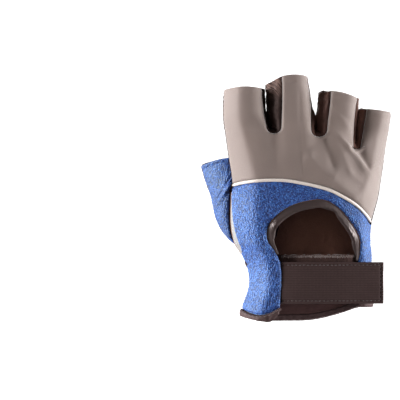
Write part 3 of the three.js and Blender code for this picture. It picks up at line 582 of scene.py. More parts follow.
# %% From a net to a piece
def select_only(obj):
    bpy.ops.object.select_all(action="DESELECT")
    obj.select_set(True)
    bpy.context.view_layer.objects.active = obj


def new_object(name, points, faces, materials, flat=None, marks=None):
    """A mesh object with its points in the frame, its flat cloth as a UV map, and marks as attributes."""
    mesh = bpy.data.meshes.new(name)
    mesh.from_pydata([to_frame(p) for p in points], [], faces)
    mesh.polygons.foreach_set("use_smooth", [True] * len(mesh.polygons))
    for material in materials:
        mesh.materials.append(material)
    if flat:
        layer = mesh.uv_layers.new(name="cloth")
        for loop in mesh.loops:
            layer.data[loop.index].uv = flat[loop.vertex_index]
    for mark, values in (marks or {}).items():
        mesh.attributes.new(mark, "FLOAT", "POINT").data.foreach_set("value", values)
    obj = bpy.data.objects.new(name, mesh)
    bpy.context.collection.objects.link(obj)
    return obj


def turn_outward(obj):
    """All faces of a closed body look outwards."""
    mesh = bmesh.new()
    mesh.from_mesh(obj.data)
    bmesh.ops.recalc_face_normals(mesh, faces=mesh.faces)
    mesh.to_mesh(obj.data)
    mesh.free()
    return obj


def apply_all(obj):
    select_only(obj)
    for modifier in list(obj.modifiers):
        bpy.ops.object.modifier_apply(modifier=modifier.name)


def give_wall(obj, thickness, bevel=0.0, inner=0, shares=None):
    """A wall that grows inwards, with a material slot for its inner side, and softened corners."""
    wall = obj.modifiers.new("wall", "SOLIDIFY")
    wall.thickness = thickness * MM
    wall.offset = -1
    wall.use_even_offset = False
    wall.material_offset = inner
    wall.material_offset_rim = 0
    if shares:
        group = obj.vertex_groups.new(name="wall")
        for i, share in enumerate(shares):
            group.add([i], share, "REPLACE")
        wall.vertex_group = "wall"
    if bevel:
        soften = obj.modifiers.new("soften", "BEVEL")
        soften.width = bevel * MM
        soften.segments = 2
        soften.limit_method = "ANGLE"
        soften.angle_limit = math.radians(50)
    apply_all(obj)
    return obj


def finish_piece(obj, slot, *nodes):
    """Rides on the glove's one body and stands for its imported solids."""
    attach(obj, "root")
    if nodes:
        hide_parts(*nodes)
    print(f"{obj.name}: {len(obj.data.vertices)} points, {len(obj.data.polygons)} faces")
    return obj


def declare_sheet(net):
    """Prints a sheet's flat size and area, measured on its net."""
    us = [u for u, _ in net.flat]
    vs = [v for _, v in net.flat]
    flat = (max(0.0105, (max(us) - min(us)) * MM), max(0.0105, (max(vs) - min(vs)) * MM))
    min(net.area, flat[0] * flat[1])
    print(f"  flat {flat[0]:.3f} x {flat[1]:.3f} m, area {net.area * 1e4:.0f} cm2")


def sheet_piece(net, name, slot, node, materials, wall, held, rests_on, marks=None, pile=None, **how):
    """From a finished net to a walled sheet that rides on the glove."""
    obj = new_object(name, net.points, net.faces, materials, net.flat, marks)
    give_wall(obj, wall, **how)
    if pile:
        raise_pile(obj, len(net.points), PILE_HEIGHT, pile)
    finish_piece(obj, slot, node)
    declare_sheet(net)
    return obj


# %% [markdown]
# ## Finishes
#
# The materials are procedural. The stretch cloth has a fine knit and a soft sheen at its edges. The terry's
# colour follows its pile: painted shade between the loops and painted highlights on them. The leather is
# brown-black with a pebbled grain, and its inner side is suede, like the raw edge of the vent's binding. The
# pattern reads the panel's own UV map where it follows the weave, and Object coordinates where it doesn't.

# %% Helpers for materials


def srgb(r, g, b):
    def linear(value):
        value /= 255
        return value / 12.92 if value <= 0.04045 else ((value + 0.055) / 1.055) ** 2.4

    return (linear(r), linear(g), linear(b), 1.0)


class Finish:
    """A material with a few shorthands for its nodes."""

    def __init__(self, name, roughness=0.8, specular=0.5, sheen=0.0, sheen_roughness=0.5,
                 tint=(1, 1, 1, 1)):
        self.material = bpy.data.materials.new(name)
        self.material.use_nodes = True
        self.tree = self.material.node_tree
        self.shader = self.tree.nodes["Principled BSDF"]
        for socket, value in (
            ("Roughness", roughness), ("Specular IOR Level", specular), ("Specular Tint", tint),
            ("Sheen Weight", sheen), ("Sheen Roughness", sheen_roughness), ("Sheen Tint", tint),
        ):
            self.shader.inputs[socket].default_value = value
        self.object_place = self.node("ShaderNodeTexCoord").outputs["Object"]

    def node(self, kind, **inputs):
        node = self.tree.nodes.new(kind)
        for key, value in inputs.items():
            self.feed(node.inputs[key.replace("_", " ")], value)
        return node

    def feed(self, socket, value):
        if hasattr(value, "is_output"):
            self.tree.links.new(value, socket)
        else:
            socket.default_value = value

    def cloth_place(self):
        node = self.node("ShaderNodeUVMap")
        node.uv_map = "cloth"
        return node.outputs["UV"]

    def mark(self, name):
        node = self.node("ShaderNodeAttribute")
        node.attribute_name = name
        return node.outputs["Fac"]

    def noise(self, place, scale, detail=3.0, roughness=0.55, distortion=0.0):
        node = self.node("ShaderNodeTexNoise", Vector=place, Scale=scale, Detail=detail, Roughness=roughness,
                         Distortion=distortion)
        return node.outputs["Fac"]

    def voronoi(self, place, scale, feature="F1", randomness=1.0):
        node = self.node("ShaderNodeTexVoronoi")
        node.feature = feature
        self.feed(node.inputs["Vector"], place)
        self.feed(node.inputs["Scale"], scale)
        self.feed(node.inputs["Randomness"], randomness)
        return node.outputs["Distance"]

    def bands(self, place, direction, scale, distortion):
        node = self.node("ShaderNodeTexWave", Vector=place, Scale=scale, Distortion=distortion, Detail=1.0)
        node.bands_direction = direction
        return node.outputs["Fac"]

    def ramp(self, value, *stops):
        node = self.node("ShaderNodeValToRGB", Fac=value)
        elements = node.color_ramp.elements
        while len(elements) < len(stops):
            elements.new(0.5)
        for element, (place, colour) in zip(elements, stops):
            element.position = place
            element.color = colour if hasattr(colour, "__len__") else (colour, colour, colour, 1)
        return node.outputs["Color"]

    def math(self, operation, a, b=0.0, clamped=False):
        node = self.node("ShaderNodeMath")
        node.operation = operation
        node.use_clamp = clamped
        self.feed(node.inputs[0], a)
        self.feed(node.inputs[1], b)
        return node.outputs["Value"]

    def mix(self, share, a, b, blend="MIX"):
        node = self.tree.nodes.new("ShaderNodeMix")
        node.data_type = "RGBA"
        node.blend_type = blend
        self.feed(node.inputs["Factor"], share)
        self.feed(node.inputs[6], a)
        self.feed(node.inputs[7], b)
        return node.outputs[2]

    def bump(self, height, distance, strength=1.0, normal=None):
        node = self.node("ShaderNodeBump", Height=height, Distance=distance, Strength=strength)
        if normal:
            self.feed(node.inputs["Normal"], normal)
        return node.outputs["Normal"]

    def finish(self, colour=None, roughness=None, normal=None):
        for socket, value in (("Base Color", colour), ("Roughness", roughness), ("Normal", normal)):
            if value is not None:
                self.feed(self.shader.inputs[socket], value)
        return self.material


PER_MM = 1 / MM


def plain(name, scale, dark, light, relief, detail=3, **look):
    """One noise gives both the colour and the relief."""
    f = Finish(name, **look)
    grain = f.noise(f.object_place, scale * PER_MM, detail=detail)
    return f.finish(f.ramp(grain, (0.3, dark), (0.7, light)), normal=f.bump(grain, relief))

# %% The stretch cloth


def stretch_cloth():
    f = Finish("stretch_cloth", roughness=0.6, specular=0.7, sheen=1.0, sheen_roughness=0.5)
    place = f.cloth_place()
    cloud = f.noise(f.object_place, 0.035 * PER_MM, detail=2)
    colour = f.ramp(cloud, (0.3, srgb(107, 87, 79)), (0.72, srgb(117, 97, 88)))
    fleck = f.noise(place, 1.6, detail=2)
    colour = f.mix(f.ramp(fleck, (0.35, 0.0), (0.75, 0.35)), colour, srgb(124, 107, 99))
    # Painted shade: the cloth is darkened near a sewn seam, where it turns down into the seam's valley.
    seam = f.math("DIVIDE", f.mark("seam"), 1.6, clamped=True)
    colour = f.mix(f.ramp(seam, (0.0, 0.55), (1.0, 0.0)), colour, srgb(76, 62, 56))
    wales = f.bands(place, "X", 0.9, distortion=0.6)
    courses = f.bands(place, "Y", 1.1, distortion=0.4)
    knit = f.math("MULTIPLY", wales, courses)
    return f.finish(colour, normal=f.bump(knit, 0.00004))


# %% The terry


def terry_cloth(name, dark, middle, light, selvage=True):
    f = Finish(name, roughness=0.5, specular=0.75, sheen=0.3, sheen_roughness=0.4, tint=srgb(214, 245, 255))
    loops = f.voronoi(f.object_place, 1.6 * PER_MM)
    patch = f.noise(f.object_place, 0.3 * PER_MM, detail=2)
    fine = f.noise(f.object_place, 2.2 * PER_MM, detail=2)
    # The colour follows the pile: painted shade between the loops and painted highlights on their tops, over
    # a patchy random tone.
    pile = f.mark("pile")
    level = f.math("ADD", f.math("MULTIPLY", pile, 0.45), f.math("MULTIPLY", patch, 0.2))
    level = f.math("ADD", level, f.math("MULTIPLY", fine, 0.45))
    level = f.math("SUBTRACT", level, f.math("MULTIPLY", loops, 0.25))
    colour = f.ramp(level, (0.26, dark), (0.5, middle), (0.76, light))
    if selvage:
        edge = f.ramp(f.mark("selvage"), (0.35, 0.0), (0.6, 1.0))
        colour = f.mix(edge, colour, srgb(142, 134, 131))
        raw = f.ramp(f.mark("raw"), (0.45, 0.0), (0.6, 1.0))
        colour = f.mix(raw, colour, srgb(116, 78, 54))
    height = f.math("SUBTRACT", f.math("MULTIPLY", fine, 0.7), loops)
    return f.finish(colour, normal=f.bump(height, 0.00018))


# %% The leather


def leather(name, dark=srgb(34, 22, 20), light=srgb(54, 38, 35), roughness=0.5, specular=0.35, seam=False,
            gloss=False, painted_sheen=False, tint=srgb(226, 196, 190)):
    f = Finish(name, specular=specular, tint=tint)
    place = f.object_place
    cloud = f.noise(place, 0.07 * PER_MM, detail=4)
    pebble = f.voronoi(place, 0.95 * PER_MM, feature="SMOOTH_F1")
    crease = f.noise(place, 0.32 * PER_MM, detail=5, roughness=0.65, distortion=0.6)
    colour = f.ramp(cloud, (0.3, dark), (0.75, light))
    colour = f.mix(f.ramp(pebble, (0.25, 0.0), (0.75, 0.35)), colour, dark)
    # Wear: lighter along the creases.
    wear_and_painted_light = f.ramp(crease, (0.55, 0.0), (0.8, 0.22))
    colour = f.mix(wear_and_painted_light, colour, srgb(78, 58, 53))
    # Painted sheen: light streaks near the top of the index–middle piece, where light reaches over the index
    # stall.
    if painted_sheen:
        across = f.node("ShaderNodeMapping", Vector=f.cloth_place(), Scale=(0.22, 1.6, 1))
        wear_and_painted_light = f.noise(across.outputs["Vector"], 0.8, detail=3, distortion=0.8)
        wear_and_painted_light = f.math("MULTIPLY", f.ramp(wear_and_painted_light, (0.42, 0.0), (0.72, 0.8)), f.mark("wear_and_painted_light"))
        colour = f.mix(wear_and_painted_light, colour, srgb(150, 122, 112))
    # Painted shade: darker near the seams, where the leather dips into the seam's valley, and darker towards
    # the palm's edge, deep in the slot.
    if seam:
        near_seam = f.math("DIVIDE", f.mark("seam"), 4.0, clamped=True)
        colour = f.mix(f.ramp(near_seam, (0.3, 0.5), (0.6, 0.0)), colour, srgb(18, 11, 10))
        colour = f.mix(f.ramp(f.mark("low"), (0.5, 0.0), (0.7, 1.0)), colour, srgb(36, 24, 22))
    rough = f.ramp(crease, (0.3, roughness - 0.06), (0.75, roughness + 0.14))
    if gloss:
        rough = f.mix(f.mark("gloss"), rough, (0.36, 0.36, 0.36, 1))
    height = f.math("ADD", f.math("MULTIPLY", pebble, -0.6), f.math("MULTIPLY", crease, 0.9))
    return f.finish(colour, roughness=rough, normal=f.bump(height, 0.00016))


def suede(name, dark, light, wear_and_painted_light=None):
    f = Finish(name, roughness=0.9, specular=0.15, sheen=0.15)
    nap = f.noise(f.object_place, 1.4 * PER_MM, detail=4)
    cloud = f.noise(f.object_place, 0.06 * PER_MM, detail=2)
    colour = f.ramp(f.math("ADD", f.math("MULTIPLY", nap, 0.5), f.math("MULTIPLY", cloud, 0.5)),
                    (0.35, dark), (0.65, light))
    # Towards the wrist the suede turns darker and greyer, where more light reaches it than inside the vent.
    if wear_and_painted_light:
        split = f.node("ShaderNodeSeparateXYZ", Vector=f.object_place)
        wrist = f.math("DIVIDE", f.math("SUBTRACT", -0.055, split.outputs["Y"]), 0.01, clamped=True)
        colour = f.mix(wrist, colour, wear_and_painted_light)
    return f.finish(colour, normal=f.bump(nap, 0.0001))


# %% Webbing and thread


def webbing(name, dark, light, rib=1.3):
    f = Finish(name, roughness=0.8, specular=0.2, sheen=0.08, sheen_roughness=0.5)
    place = f.cloth_place()
    ribs = f.bands(place, "Y", rib / 6.28, distortion=0.4)
    picks = f.bands(place, "X", rib * 1.7 / 6.28, distortion=0.5)
    weave = f.math("MULTIPLY", ribs, picks)
    dust = f.noise(place, 0.9, detail=4)
    level = f.math("ADD", f.math("MULTIPLY", weave, 0.5), f.math("MULTIPLY", dust, 0.5))
    colour = f.ramp(level, (0.2, dark), (0.75, light))
    return f.finish(colour, normal=f.bump(weave, 0.00006))


def thread(name, dark, light):
    return plain(name, 3.0, dark, light, 0.00008, detail=2, roughness=0.5, specular=0.5, sheen=0.2)


CLOTH = stretch_cloth()
MATT = {"roughness": 0.95, "specular": 0.1}
CLOTH_INSIDE = plain("cloth_inside", 1.1, srgb(70, 60, 55), srgb(96, 84, 78), 0.0002, **MATT)
# The terry's ramp, from painted shade between the loops to painted highlights on them.
TERRY_COLOURS = srgb(12, 28, 96), srgb(38, 86, 174), srgb(112, 172, 240)
# The thumb's back is the same terry; this darker copy of its colours is painted shade.
TERRY_THUMB_PAINTED_SHADE = srgb(8, 22, 80), srgb(26, 66, 148), srgb(84, 146, 222)
TERRY = terry_cloth("terry", *TERRY_COLOURS)
TERRY_THUMB = terry_cloth("terry_thumb_painted_shade", *TERRY_THUMB_PAINTED_SHADE, selvage=False)
TERRY_INSIDE = plain("terry_inside", 0.9, srgb(38, 58, 108), srgb(62, 88, 150), 0.00025, **MATT)
LEATHER = leather("palm_leather")
# One leather for all three pieces, each in its own lightness for how much light reaches its slot: the
# index–middle piece, shaded by the index stall, is darkest. Painted shade and light.
SIDE_PAINTED_SHADING = [
    (srgb(28, 18, 16), srgb(42, 28, 25)),
    (srgb(66, 43, 37), srgb(92, 63, 55)),
    (srgb(92, 62, 54), srgb(126, 92, 81)),
]
LEATHER_SIDES = [
    leather(f"side_leather_{k}", dark, light, roughness=0.55, specular=0.3, seam=True, painted_sheen=k == 0)
    for k, (dark, light) in enumerate(SIDE_PAINTED_SHADING)
]
PALE_SHINE = srgb(240, 226, 224)
LEATHER_SOFT = leather("binding_leather", srgb(37, 25, 24), srgb(51, 36, 35), roughness=0.6, specular=0.7,
                       gloss=True, tint=PALE_SHINE)
LEATHER_CUFF = leather("cuff_leather", srgb(60, 43, 43), srgb(78, 58, 58), roughness=0.62, specular=0.4,
                       tint=PALE_SHINE)
# Painted light: the suede is lightened to make up for the deep shade inside the vent.
SUEDE = suede("leather_inside", srgb(94, 61, 50), srgb(108, 73, 60), wear_and_painted_light=srgb(74, 50, 49))
RAW_EDGE = suede("leather_cut_edge", srgb(104, 72, 50), srgb(140, 102, 74))
PIPING_COVER = plain("piping_cover", 1.8, srgb(206, 192, 184), srgb(224, 214, 207), 0.00006,
                     roughness=0.45, sheen=0.2)
WEBBING = webbing("strap_webbing", srgb(50, 34, 33), srgb(64, 46, 45))
PILE_TAPE = suede("pile_tape", srgb(46, 30, 28), srgb(70, 49, 45))
THREAD = thread("dark_thread", srgb(42, 32, 30), srgb(74, 61, 57))
STRAP_THREAD = thread("strap_thread", srgb(40, 27, 26), srgb(66, 49, 48))
FUZZ_THREAD = thread("overlock_thread", srgb(96, 80, 77), srgb(150, 134, 130))
print("materials:", len(bpy.data.materials))

# %% [markdown]
# ## Camera, floor and light
#
# The glove is seen straight from above, through a long lens, off to the right of the picture's middle. It
# lies on a white table lit from both sides: large soft lights stand low on the left and right and brighten
# the glove's edges, and only a weak one hangs above. That is what gives a product photograph its pale rims
# and its calm, darker middle.

# %% Camera
CAMERA_HEIGHT = 2.5
FIELD = 0.26
centre = to_frame((-62.1, -1.3, 0))
camera = bpy.data.objects.new("camera", bpy.data.cameras.new("camera"))
bpy.context.collection.objects.link(camera)
camera.location = (centre.x, centre.y, CAMERA_HEIGHT)
camera.data.sensor_width = 36
camera.data.lens = 36 * (CAMERA_HEIGHT - 0.02) / FIELD
camera.data.clip_start = 0.1
camera.data.clip_end = 20
bpy.context.scene.camera = camera
print("lens:", round(camera.data.lens), "mm")

# %% Floor
bpy.ops.object.select_all(action="DESELECT")
bpy.ops.mesh.primitive_plane_add(size=6, location=(0, 0, -0.0005))
floor = bpy.context.object
floor.name = "table_top"
top = Finish("white_table", roughness=0.6, specular=0.2)
haze = top.noise(top.object_place, 1.5, detail=2)
top.finish(top.ramp(haze, (0.3, 0.9), (0.7, 0.93)))
top.shader.inputs["Emission Color"].default_value = (1, 1, 1, 1)
top.shader.inputs["Emission Strength"].default_value = 0.9
floor.data.materials.append(top.material)

# %% Lights


def softbox(name, azimuth, elevation, distance, width, height, power):
    """A soft light that looks at the glove. Azimuth 0 is the wrist's side and 90 the right."""
    a, e = math.radians(azimuth), math.radians(elevation)
    light = bpy.data.lights.new(name, "AREA")
    light.shape = "RECTANGLE"
    light.size = width
    light.size_y = height
    light.energy = power
    lamp = bpy.data.objects.new(name, light)
    bpy.context.collection.objects.link(lamp)
    aim = Vector((math.sin(a) * math.cos(e), -math.cos(a) * math.cos(e), math.sin(e)))
    lamp.location = aim * distance
    lamp.rotation_mode = "QUATERNION"
    lamp.rotation_quaternion = (-aim).to_track_quat("-Z", "Y")


softbox("left_softbox", -92, 11, 1.1, 0.9, 0.32, 30)
softbox("right_softbox", 90, 11, 1.1, 0.9, 0.32, 25)
softbox("top_fill", -90, 76, 1.3, 0.6, 0.6, 1.6)
world = bpy.data.worlds.new("studio")
bpy.context.scene.world = world
world.use_nodes = True
world.node_tree.nodes["Background"].inputs["Color"].default_value = (1.0, 0.98, 0.95, 1.0)
world.node_tree.nodes["Background"].inputs["Strength"].default_value = 0.12
bpy.context.scene.view_settings.view_transform = "Standard"

# %% [markdown]
# ## The back of the hand and the palm
#
# Both large panels have four stalls above the line of the knuckles and one field below it. Their nets have
# the same columns in the field and in the stalls, so the cloth runs on from one to the other without a step.

# %% A panel with four stalls
FINE = {"finger": 36, "back": 60, "palm": 150, "slot_foot": 9, "stall": 44}


def finger_share(finger, side, t):
    """Spreads a finger's columns: closer together towards the outer sides of the hand."""
    if finger == 0 and side == "top":
        return lerp(1 - math.cos(t * math.pi / 2), t, 0.6)
    if finger == 3:
        return lerp(math.sin(t * math.pi / 2), t, 0.6 if side == "top" else 0)
    return t


def slot_edge(slot, side, q):
    """The edge of a slot: first a quarter turn round its foot, then a smooth line up to the cut edge."""
    sign = -1 if side == "left" else 1
    foot = FINE["slot_foot"]
    if q <= foot:
        angle = (q / foot) ** 0.62 * math.pi / 2
        aside, up = slot["radius"] * math.sin(angle), slot["radius"] * (1 - math.cos(angle))
        return slot["x"] + sign * aside, slot["y"] + up
    path = table("y x", [
        (slot["y"] + slot["radius"], slot["x"] + sign * slot["radius"]),
        (slot[side + "_mid_y"], slot[side + "_mid_x"]),
        (slot[side + "_top_y"], slot[side + "_top_x"]),
    ])
    y = lerp(path[0]["y"], path[2]["y"], (q - foot) / FINE["stall"])
    return read(path, "x", y), y


def fingered_net(side, slots, field_rows, foot_y, field_left, field_right, stall_left, stall_right):
    """One field below the knuckles, and four stalls that carry its columns on up to the cut edges."""
    net = Net()
    face_up = side == "top"
    wide = FINE["finger"]
    ends = [field_left(1)] + [(slot["x"], slot["y"]) for slot in slots] + [field_right(1)]
    columns = []
    for finger in range(4):
        for c in range(1 if finger else 0, wide + 1):
            share = finger_share(finger, side, c / wide)
            bulge = KNUCKLES["bulge"] * math.sin(math.pi * share)
            x = lerp(ends[finger][0], ends[finger + 1][0], share)
            y = lerp(ends[finger][1], ends[finger + 1][1], share) + bulge
            columns.append((finger, y, (x - ends[0][0]) / (ends[4][0] - ends[0][0])))

    def straight(t, across):
        left, right = field_left(t), field_right(t)
        return lerp(left[0], right[0], across), lerp(left[1], right[1], across)

    net.field = []
    for r in range(field_rows + 1):
        t = r / field_rows
        row = []
        for finger, knee_y, across in columns:
            x, y = straight(t, across)
            foot_bend = foot_y(straight(0, across)[0]) - straight(0, across)[1]
            bend = lerp(foot_bend, knee_y - straight(1, across)[1], t)
            row.append(net.add(skin_point(finger, side, x, y + bend, knee_y)))
        net.field.append(row)
    net.join_rows(net.field, face_up)
    net.lay_flat(net.field)
    net.stalls = []
    stall_rows = FINE["slot_foot"] + FINE["stall"]
    for finger in range(4):
        first = finger * wide
        own = columns[first:first + wide + 1]
        stall = [net.field[-1][first:first + wide + 1]]
        for q in range(1, stall_rows + 1):
            up = q / stall_rows
            left = stall_left(up) if finger == 0 else slot_edge(slots[finger - 1], "right", q)
            right = stall_right(up) if finger == 3 else slot_edge(slots[finger], "left", q)
            crown = lerp(KNUCKLES["bulge"], CUT_EDGE["crown"][finger], ease(up))
            row = []
            for c, (_, knee_y, _) in enumerate(own):
                share = finger_share(finger, side, c / wide)
                y = lerp(left[1], right[1], share) + crown * math.sin(math.pi * share)
                row.append(net.add(skin_point(finger, side, lerp(left[0], right[0], share), y, knee_y)))
            stall.append(row)
        net.join_rows(stall, face_up)
        start = [net.flat[i] for i in stall[0]]
        net.lay_flat(stall, start_v=[v for _, v in start], middle_u=start[len(start) // 2][0])
        net.cut.update(stall[-1])
        net.stalls.append(stall)
    net.edges = [
        {side: [net.points[row[end]].copy() for row in stall] for side, end in (("left", 0), ("right", -1))}
        for stall in net.stalls
    ]
    net.area = net.flat_area()
    return net


# %% Outlines of the back and the palm


def left_side(y):
    return read(HAND, "left", y), y


def right_side(y):
    return read(HAND, "right", y), y


def piping_edge(x, sign, gap=0.1):
    """The edge beside the piping: sign 1 is the cloth's, towards the fingers, and -1 is the terry's."""
    inside = clamp(x, PIPING_ENDS[0] + 0.5, PIPING_ENDS[1] - 0.5)
    slope = read(PIPING, "y", inside + 0.5) - read(PIPING, "y", inside - 0.5)
    return read(PIPING, "y", x) + sign * (PIPING_RADIUS * 0.72 + gap) * math.hypot(1, slope)


THENAR_CURVE = PlanCurve([left_side(THENAR_START)] + THENAR)
PALM_SHARES = {"wrist": 0.26, "thenar": 0.44}


def palm_foot(x):
    return read(WRIST_PALM, "y", x) + CUFF["band"]


def palm_index_edge(t):
    wrist, thenar = PALM_SHARES["wrist"], PALM_SHARES["thenar"]
    if t <= wrist:
        return left_side(lerp(palm_foot(WRIST_ENDS[0]), THENAR_START, t / wrist))
    on_thenar = (t - wrist) / thenar
    past = (t - wrist - thenar) / (1 - wrist - thenar)
    point = THENAR_CURVE(on_thenar) if on_thenar <= 1 else DIAGONAL(past)
    return point.x, point.y


def strip_front_edge(t):
    y = lerp(STRIP_FRONT[0]["y"], STRIP_FRONT[2]["y"], t)
    return read(STRIP_FRONT, "x", y), y


# %% The back panel
back = fingered_net(
    "top", BACK_SLOTS, FINE["back"],
    foot_y=lambda x: piping_edge(x, 1),
    field_left=lambda t: left_side(lerp(piping_edge(PIPING_ENDS[0], 1), KNUCKLES["left"], t)),
    field_right=lambda t: right_side(lerp(piping_edge(PIPING_ENDS[1], 1), KNUCKLES["right"], t)),
    stall_left=lambda t: left_side(lerp(KNUCKLES["left"], CUT_EDGE["index_left"], t)),
    stall_right=lambda t: right_side(lerp(KNUCKLES["right"], CUT_EDGE["little_right"], t)),
)
seam_distance = turn_in(back)
raise_hem(back, back.cut, width=4.2, height=0.35)
tight = [lerp(0.1, 1, calm_feet(p.x, p.y, start=1.5, end=4.5)) for p in back.points]
marks = {"seam": [min(9.0, d) for d in seam_distance]}
sheet_piece(back, "back_panel_cloth", "cloth", "back_panel", [CLOTH, CLOTH_INSIDE], WALL["cloth"],
            "stretched", ["palm_leather"], marks=marks, inner=1, shares=tight)

# %% The palm panel
palm = fingered_net(
    "under", PALM_SLOTS, FINE["palm"],
    foot_y=lambda x: palm_foot(x) - 1.4,
    field_left=palm_index_edge,
    field_right=lambda t: right_side(lerp(palm_foot(WRIST_ENDS[1]), KNUCKLES["right"], t)),
    stall_left=strip_front_edge,
    stall_right=lambda t: right_side(lerp(KNUCKLES["right"], CUT_EDGE["little_right"], t)),
)


def wrinkle(net, height, scale, seam, stretch=(1, 1, 1), seed=0.0):
    """Soft creases: the folds of a noise, moved along the normals, calm near the seams."""

    def height_at(i, point, normal):
        place = Vector((point.x * stretch[0], point.y * stretch[1], point.z * stretch[2])) * scale
        value = abs(noise.fractal(place + Vector((seed, 0, 0)), 0.9, 2.1, 4))
        return height * (0.35 - min(1.0, value * 1.6)) * clamp(seam[i] / 3)

    net.push(height_at)


FLANK_SHIFT = {"from": -36, "fade": 4, "width": 8, "by": 0.3}
for point in palm.points:
    down = ease((FLANK_SHIFT["from"] - point.y) / FLANK_SHIFT["fade"])
    flank = clamp(1 - (point.x - read(HAND, "left", point.y)) / FLANK_SHIFT["width"])
    point.x += FLANK_SHIFT["by"] * flank * down
palm_seam = turn_in(palm)
raise_hem(palm, palm.cut, width=4.6, height=0.3)
wrinkle(palm, 0.35, 0.11, palm_seam)
tight = [lerp(0.1, 1, calm_feet(p.x, p.y, PALM_SLOTS, 1.5, 4.5)) for p in palm.points]
palm_panel = sheet_piece(palm, "palm_leather", "leather", "palm_panel", [LEATHER, SUEDE], WALL["leather"],
                         "laid", ["table_top"], inner=1, shares=tight)
# Inside the stalls the palm's inner side takes the dark outer leather instead of the suede, whose colour is
# lightened as painted light for the vent.
stall_line = to_frame((0, 25, 0)).y
for polygon in palm_panel.data.polygons:
    if polygon.center.y > stall_line:
        polygon.material_index = 0

# %% [markdown]
# The strip starts in the crotch of the thumb and runs up the outer side of the index stall, where the palm's
# leather would otherwise meet the stretch cloth. Between two stalls a narrow leather piece goes down one
# side, round the foot of the slot and up the other side, as wide as the finger is thick.

# %% The strip and the pieces between the fingers


def index_strip_net():
    """From the crotch of the thumb along the diagonal seam, and then up the side of the index stall."""
    diagonal_rows, stall_rows = 30, FINE["slot_foot"] + FINE["stall"]
    rows = diagonal_rows + stall_rows

    def point_at(up, share):
        row = up * rows
        on_front = (row - diagonal_rows) / stall_rows
        if on_front > 0:
            inner = strip_front_edge(on_front)
            outer_y = lerp(KNUCKLES["left"], CUT_EDGE["index_left"], on_front)
        else:
            spot = DIAGONAL(row / diagonal_rows)
            inner = spot.x, spot.y
            outer_y = lerp(CROTCH_Y, KNUCKLES["left"], row / diagonal_rows)
        out = math.sin(share * math.pi / 2)
        x = lerp(inner[0], left_side(outer_y)[0], out)
        return skin_point(0, "under", x, lerp(inner[1], outer_y, out), STRIP_FRONT[0]["y"])

    net = grid_net(rows, 22, point_at, True)
    net.cut.update(net.rows[-1][1:-1])
    return net


strip = index_strip_net()
strip_seam = turn_in(strip)
wrinkle(strip, 0.25, 0.13, strip_seam, seed=4.0)
sheet_piece(strip, "index_strip_leather", "leather", "index_strip", [LEATHER, SUEDE], WALL["leather"],
            "stretched", ["palm_leather"], bevel=0.2, inner=1)


SLOT_OPENS = (51, 51, 66)
OPEN_SHARE = {(1, "right"): -0.1}
DROOP = {(0, "left"): 6, (1, "left"): 3.5}


def fourchette_net(slot):
    """Down one finger's side, round the slot's foot and up the next, from the back's edge to the palm's."""
    stations = []
    stall_rows = FINE["slot_foot"] + FINE["stall"]

    def add_station(finger, side, q):
        high, low = back.edges[finger][side][q], palm.edges[finger][side][q]
        middle = (high + low) / 2
        sides = stall_side(slot, "right", middle.y), stall_side(slot + 1, "left", middle.y)
        closed = ease((SLOT_OPENS[slot] + 9 - middle.y) / 9)
        open_share = OPEN_SHARE.get((finger, side), 0.3)
        meet = (sides[1] - sides[0]) * lerp(open_share, 1.05, closed) * (1 if side == "right" else -1) / 2
        bulge = 2 * (stall_side(finger, side, middle.y) + meet - middle.x)
        middle.x += bulge * ease(q / 5)
        middle.y += 5 * (1 - ease(q / FINE["slot_foot"]))
        middle.y -= DROOP.get((finger - 1, side), 1.5) * ease(1 - (stall_rows - q) / 14)
        stations.append((high, middle, low))

    for q in range(stall_rows, 0, -1):
        add_station(slot, "right", q)
    for q in range(stall_rows + 1):
        add_station(slot + 1, "left", q)

    def point_at(along, down):
        high, middle, low = stations[round(along * (len(stations) - 1))]
        return high.lerp(middle, down).lerp(middle.lerp(low, down), down)

    net = grid_net(len(stations) - 1, 20, point_at, False)
    net.cut.update(net.rows[0][1:-1] + net.rows[-1][1:-1])
    return net


for slot, pair in enumerate(("index_middle", "middle_ring", "ring_little")):
    side = fourchette_net(slot)
    side_seam = turn_in(side, depth=0.9, reach=1.6)
    wrinkle(side, 0.9, 0.17, side_seam, stretch=(1, 0.55, 1), seed=7.0 + slot)
    # The seam and low marks carry painted shade: near the seams and deep in the slot.
    marks = {
        "seam": [min(9.0, d) for d in side_seam],
        # Where the painted sheen streaks go, near the tops; only the index–middle piece shows them.
        "wear_and_painted_light": [ease((p.y - 62) / 10) * ease((p.x + 22) / 3) for p in side.points],
        "low": [(i % 21) / 20 for i in range(len(side.points))],
    }
    sheet_piece(side, f"fourchette_{pair}_leather", "leather", f"fourchette_{pair}", [LEATHER_SIDES[slot]],
                WALL["side"], "stretched", ["back_panel_cloth", "palm_leather"], marks=marks, bevel=0.2)

# %% [markdown]
# ## Stitches
#
# Each stitch is a short thread that comes up out of the leather, lies on it and goes down again. One small
# body of a few faces is laid again and again along a seam, its ends sunk below the surface. Where a seam has
# to follow a panel, its path is read from the panel's own net.

# %% Threads along a path


def facing(net):
    """A net's normals, worked out the first time they are asked for."""
    if not hasattr(net, "facing"):
        net.facing = net.normals()
    return net.facing


def net_path(net, spots):
    """Places and normals on a grid net, at (down, along) shares of it."""
    normals = facing(net)
    path = []
    for down, along in spots:
        r, c = down * (len(net.rows) - 1), along * (len(net.rows[0]) - 1)
        r0, c0 = min(int(r), len(net.rows) - 2), min(int(c), len(net.rows[0]) - 2)
        corners = [net.rows[r0][c0], net.rows[r0][c0 + 1], net.rows[r0 + 1][c0], net.rows[r0 + 1][c0 + 1]]
        r, c = r - r0, c - c0
        shares = [(1 - r) * (1 - c), (1 - r) * c, r * (1 - c), r * c]
        place = sum((net.points[i] * w for i, w in zip(corners, shares)), Vector())
        normal = sum((normals[i] * w for i, w in zip(corners, shares)), Vector()).normalized()
        path.append((place, normal))
    return path


def row_path(net, row):
    """Places and normals along one row of a net's own points."""
    return [(net.points[i], facing(net)[i]) for i in row]


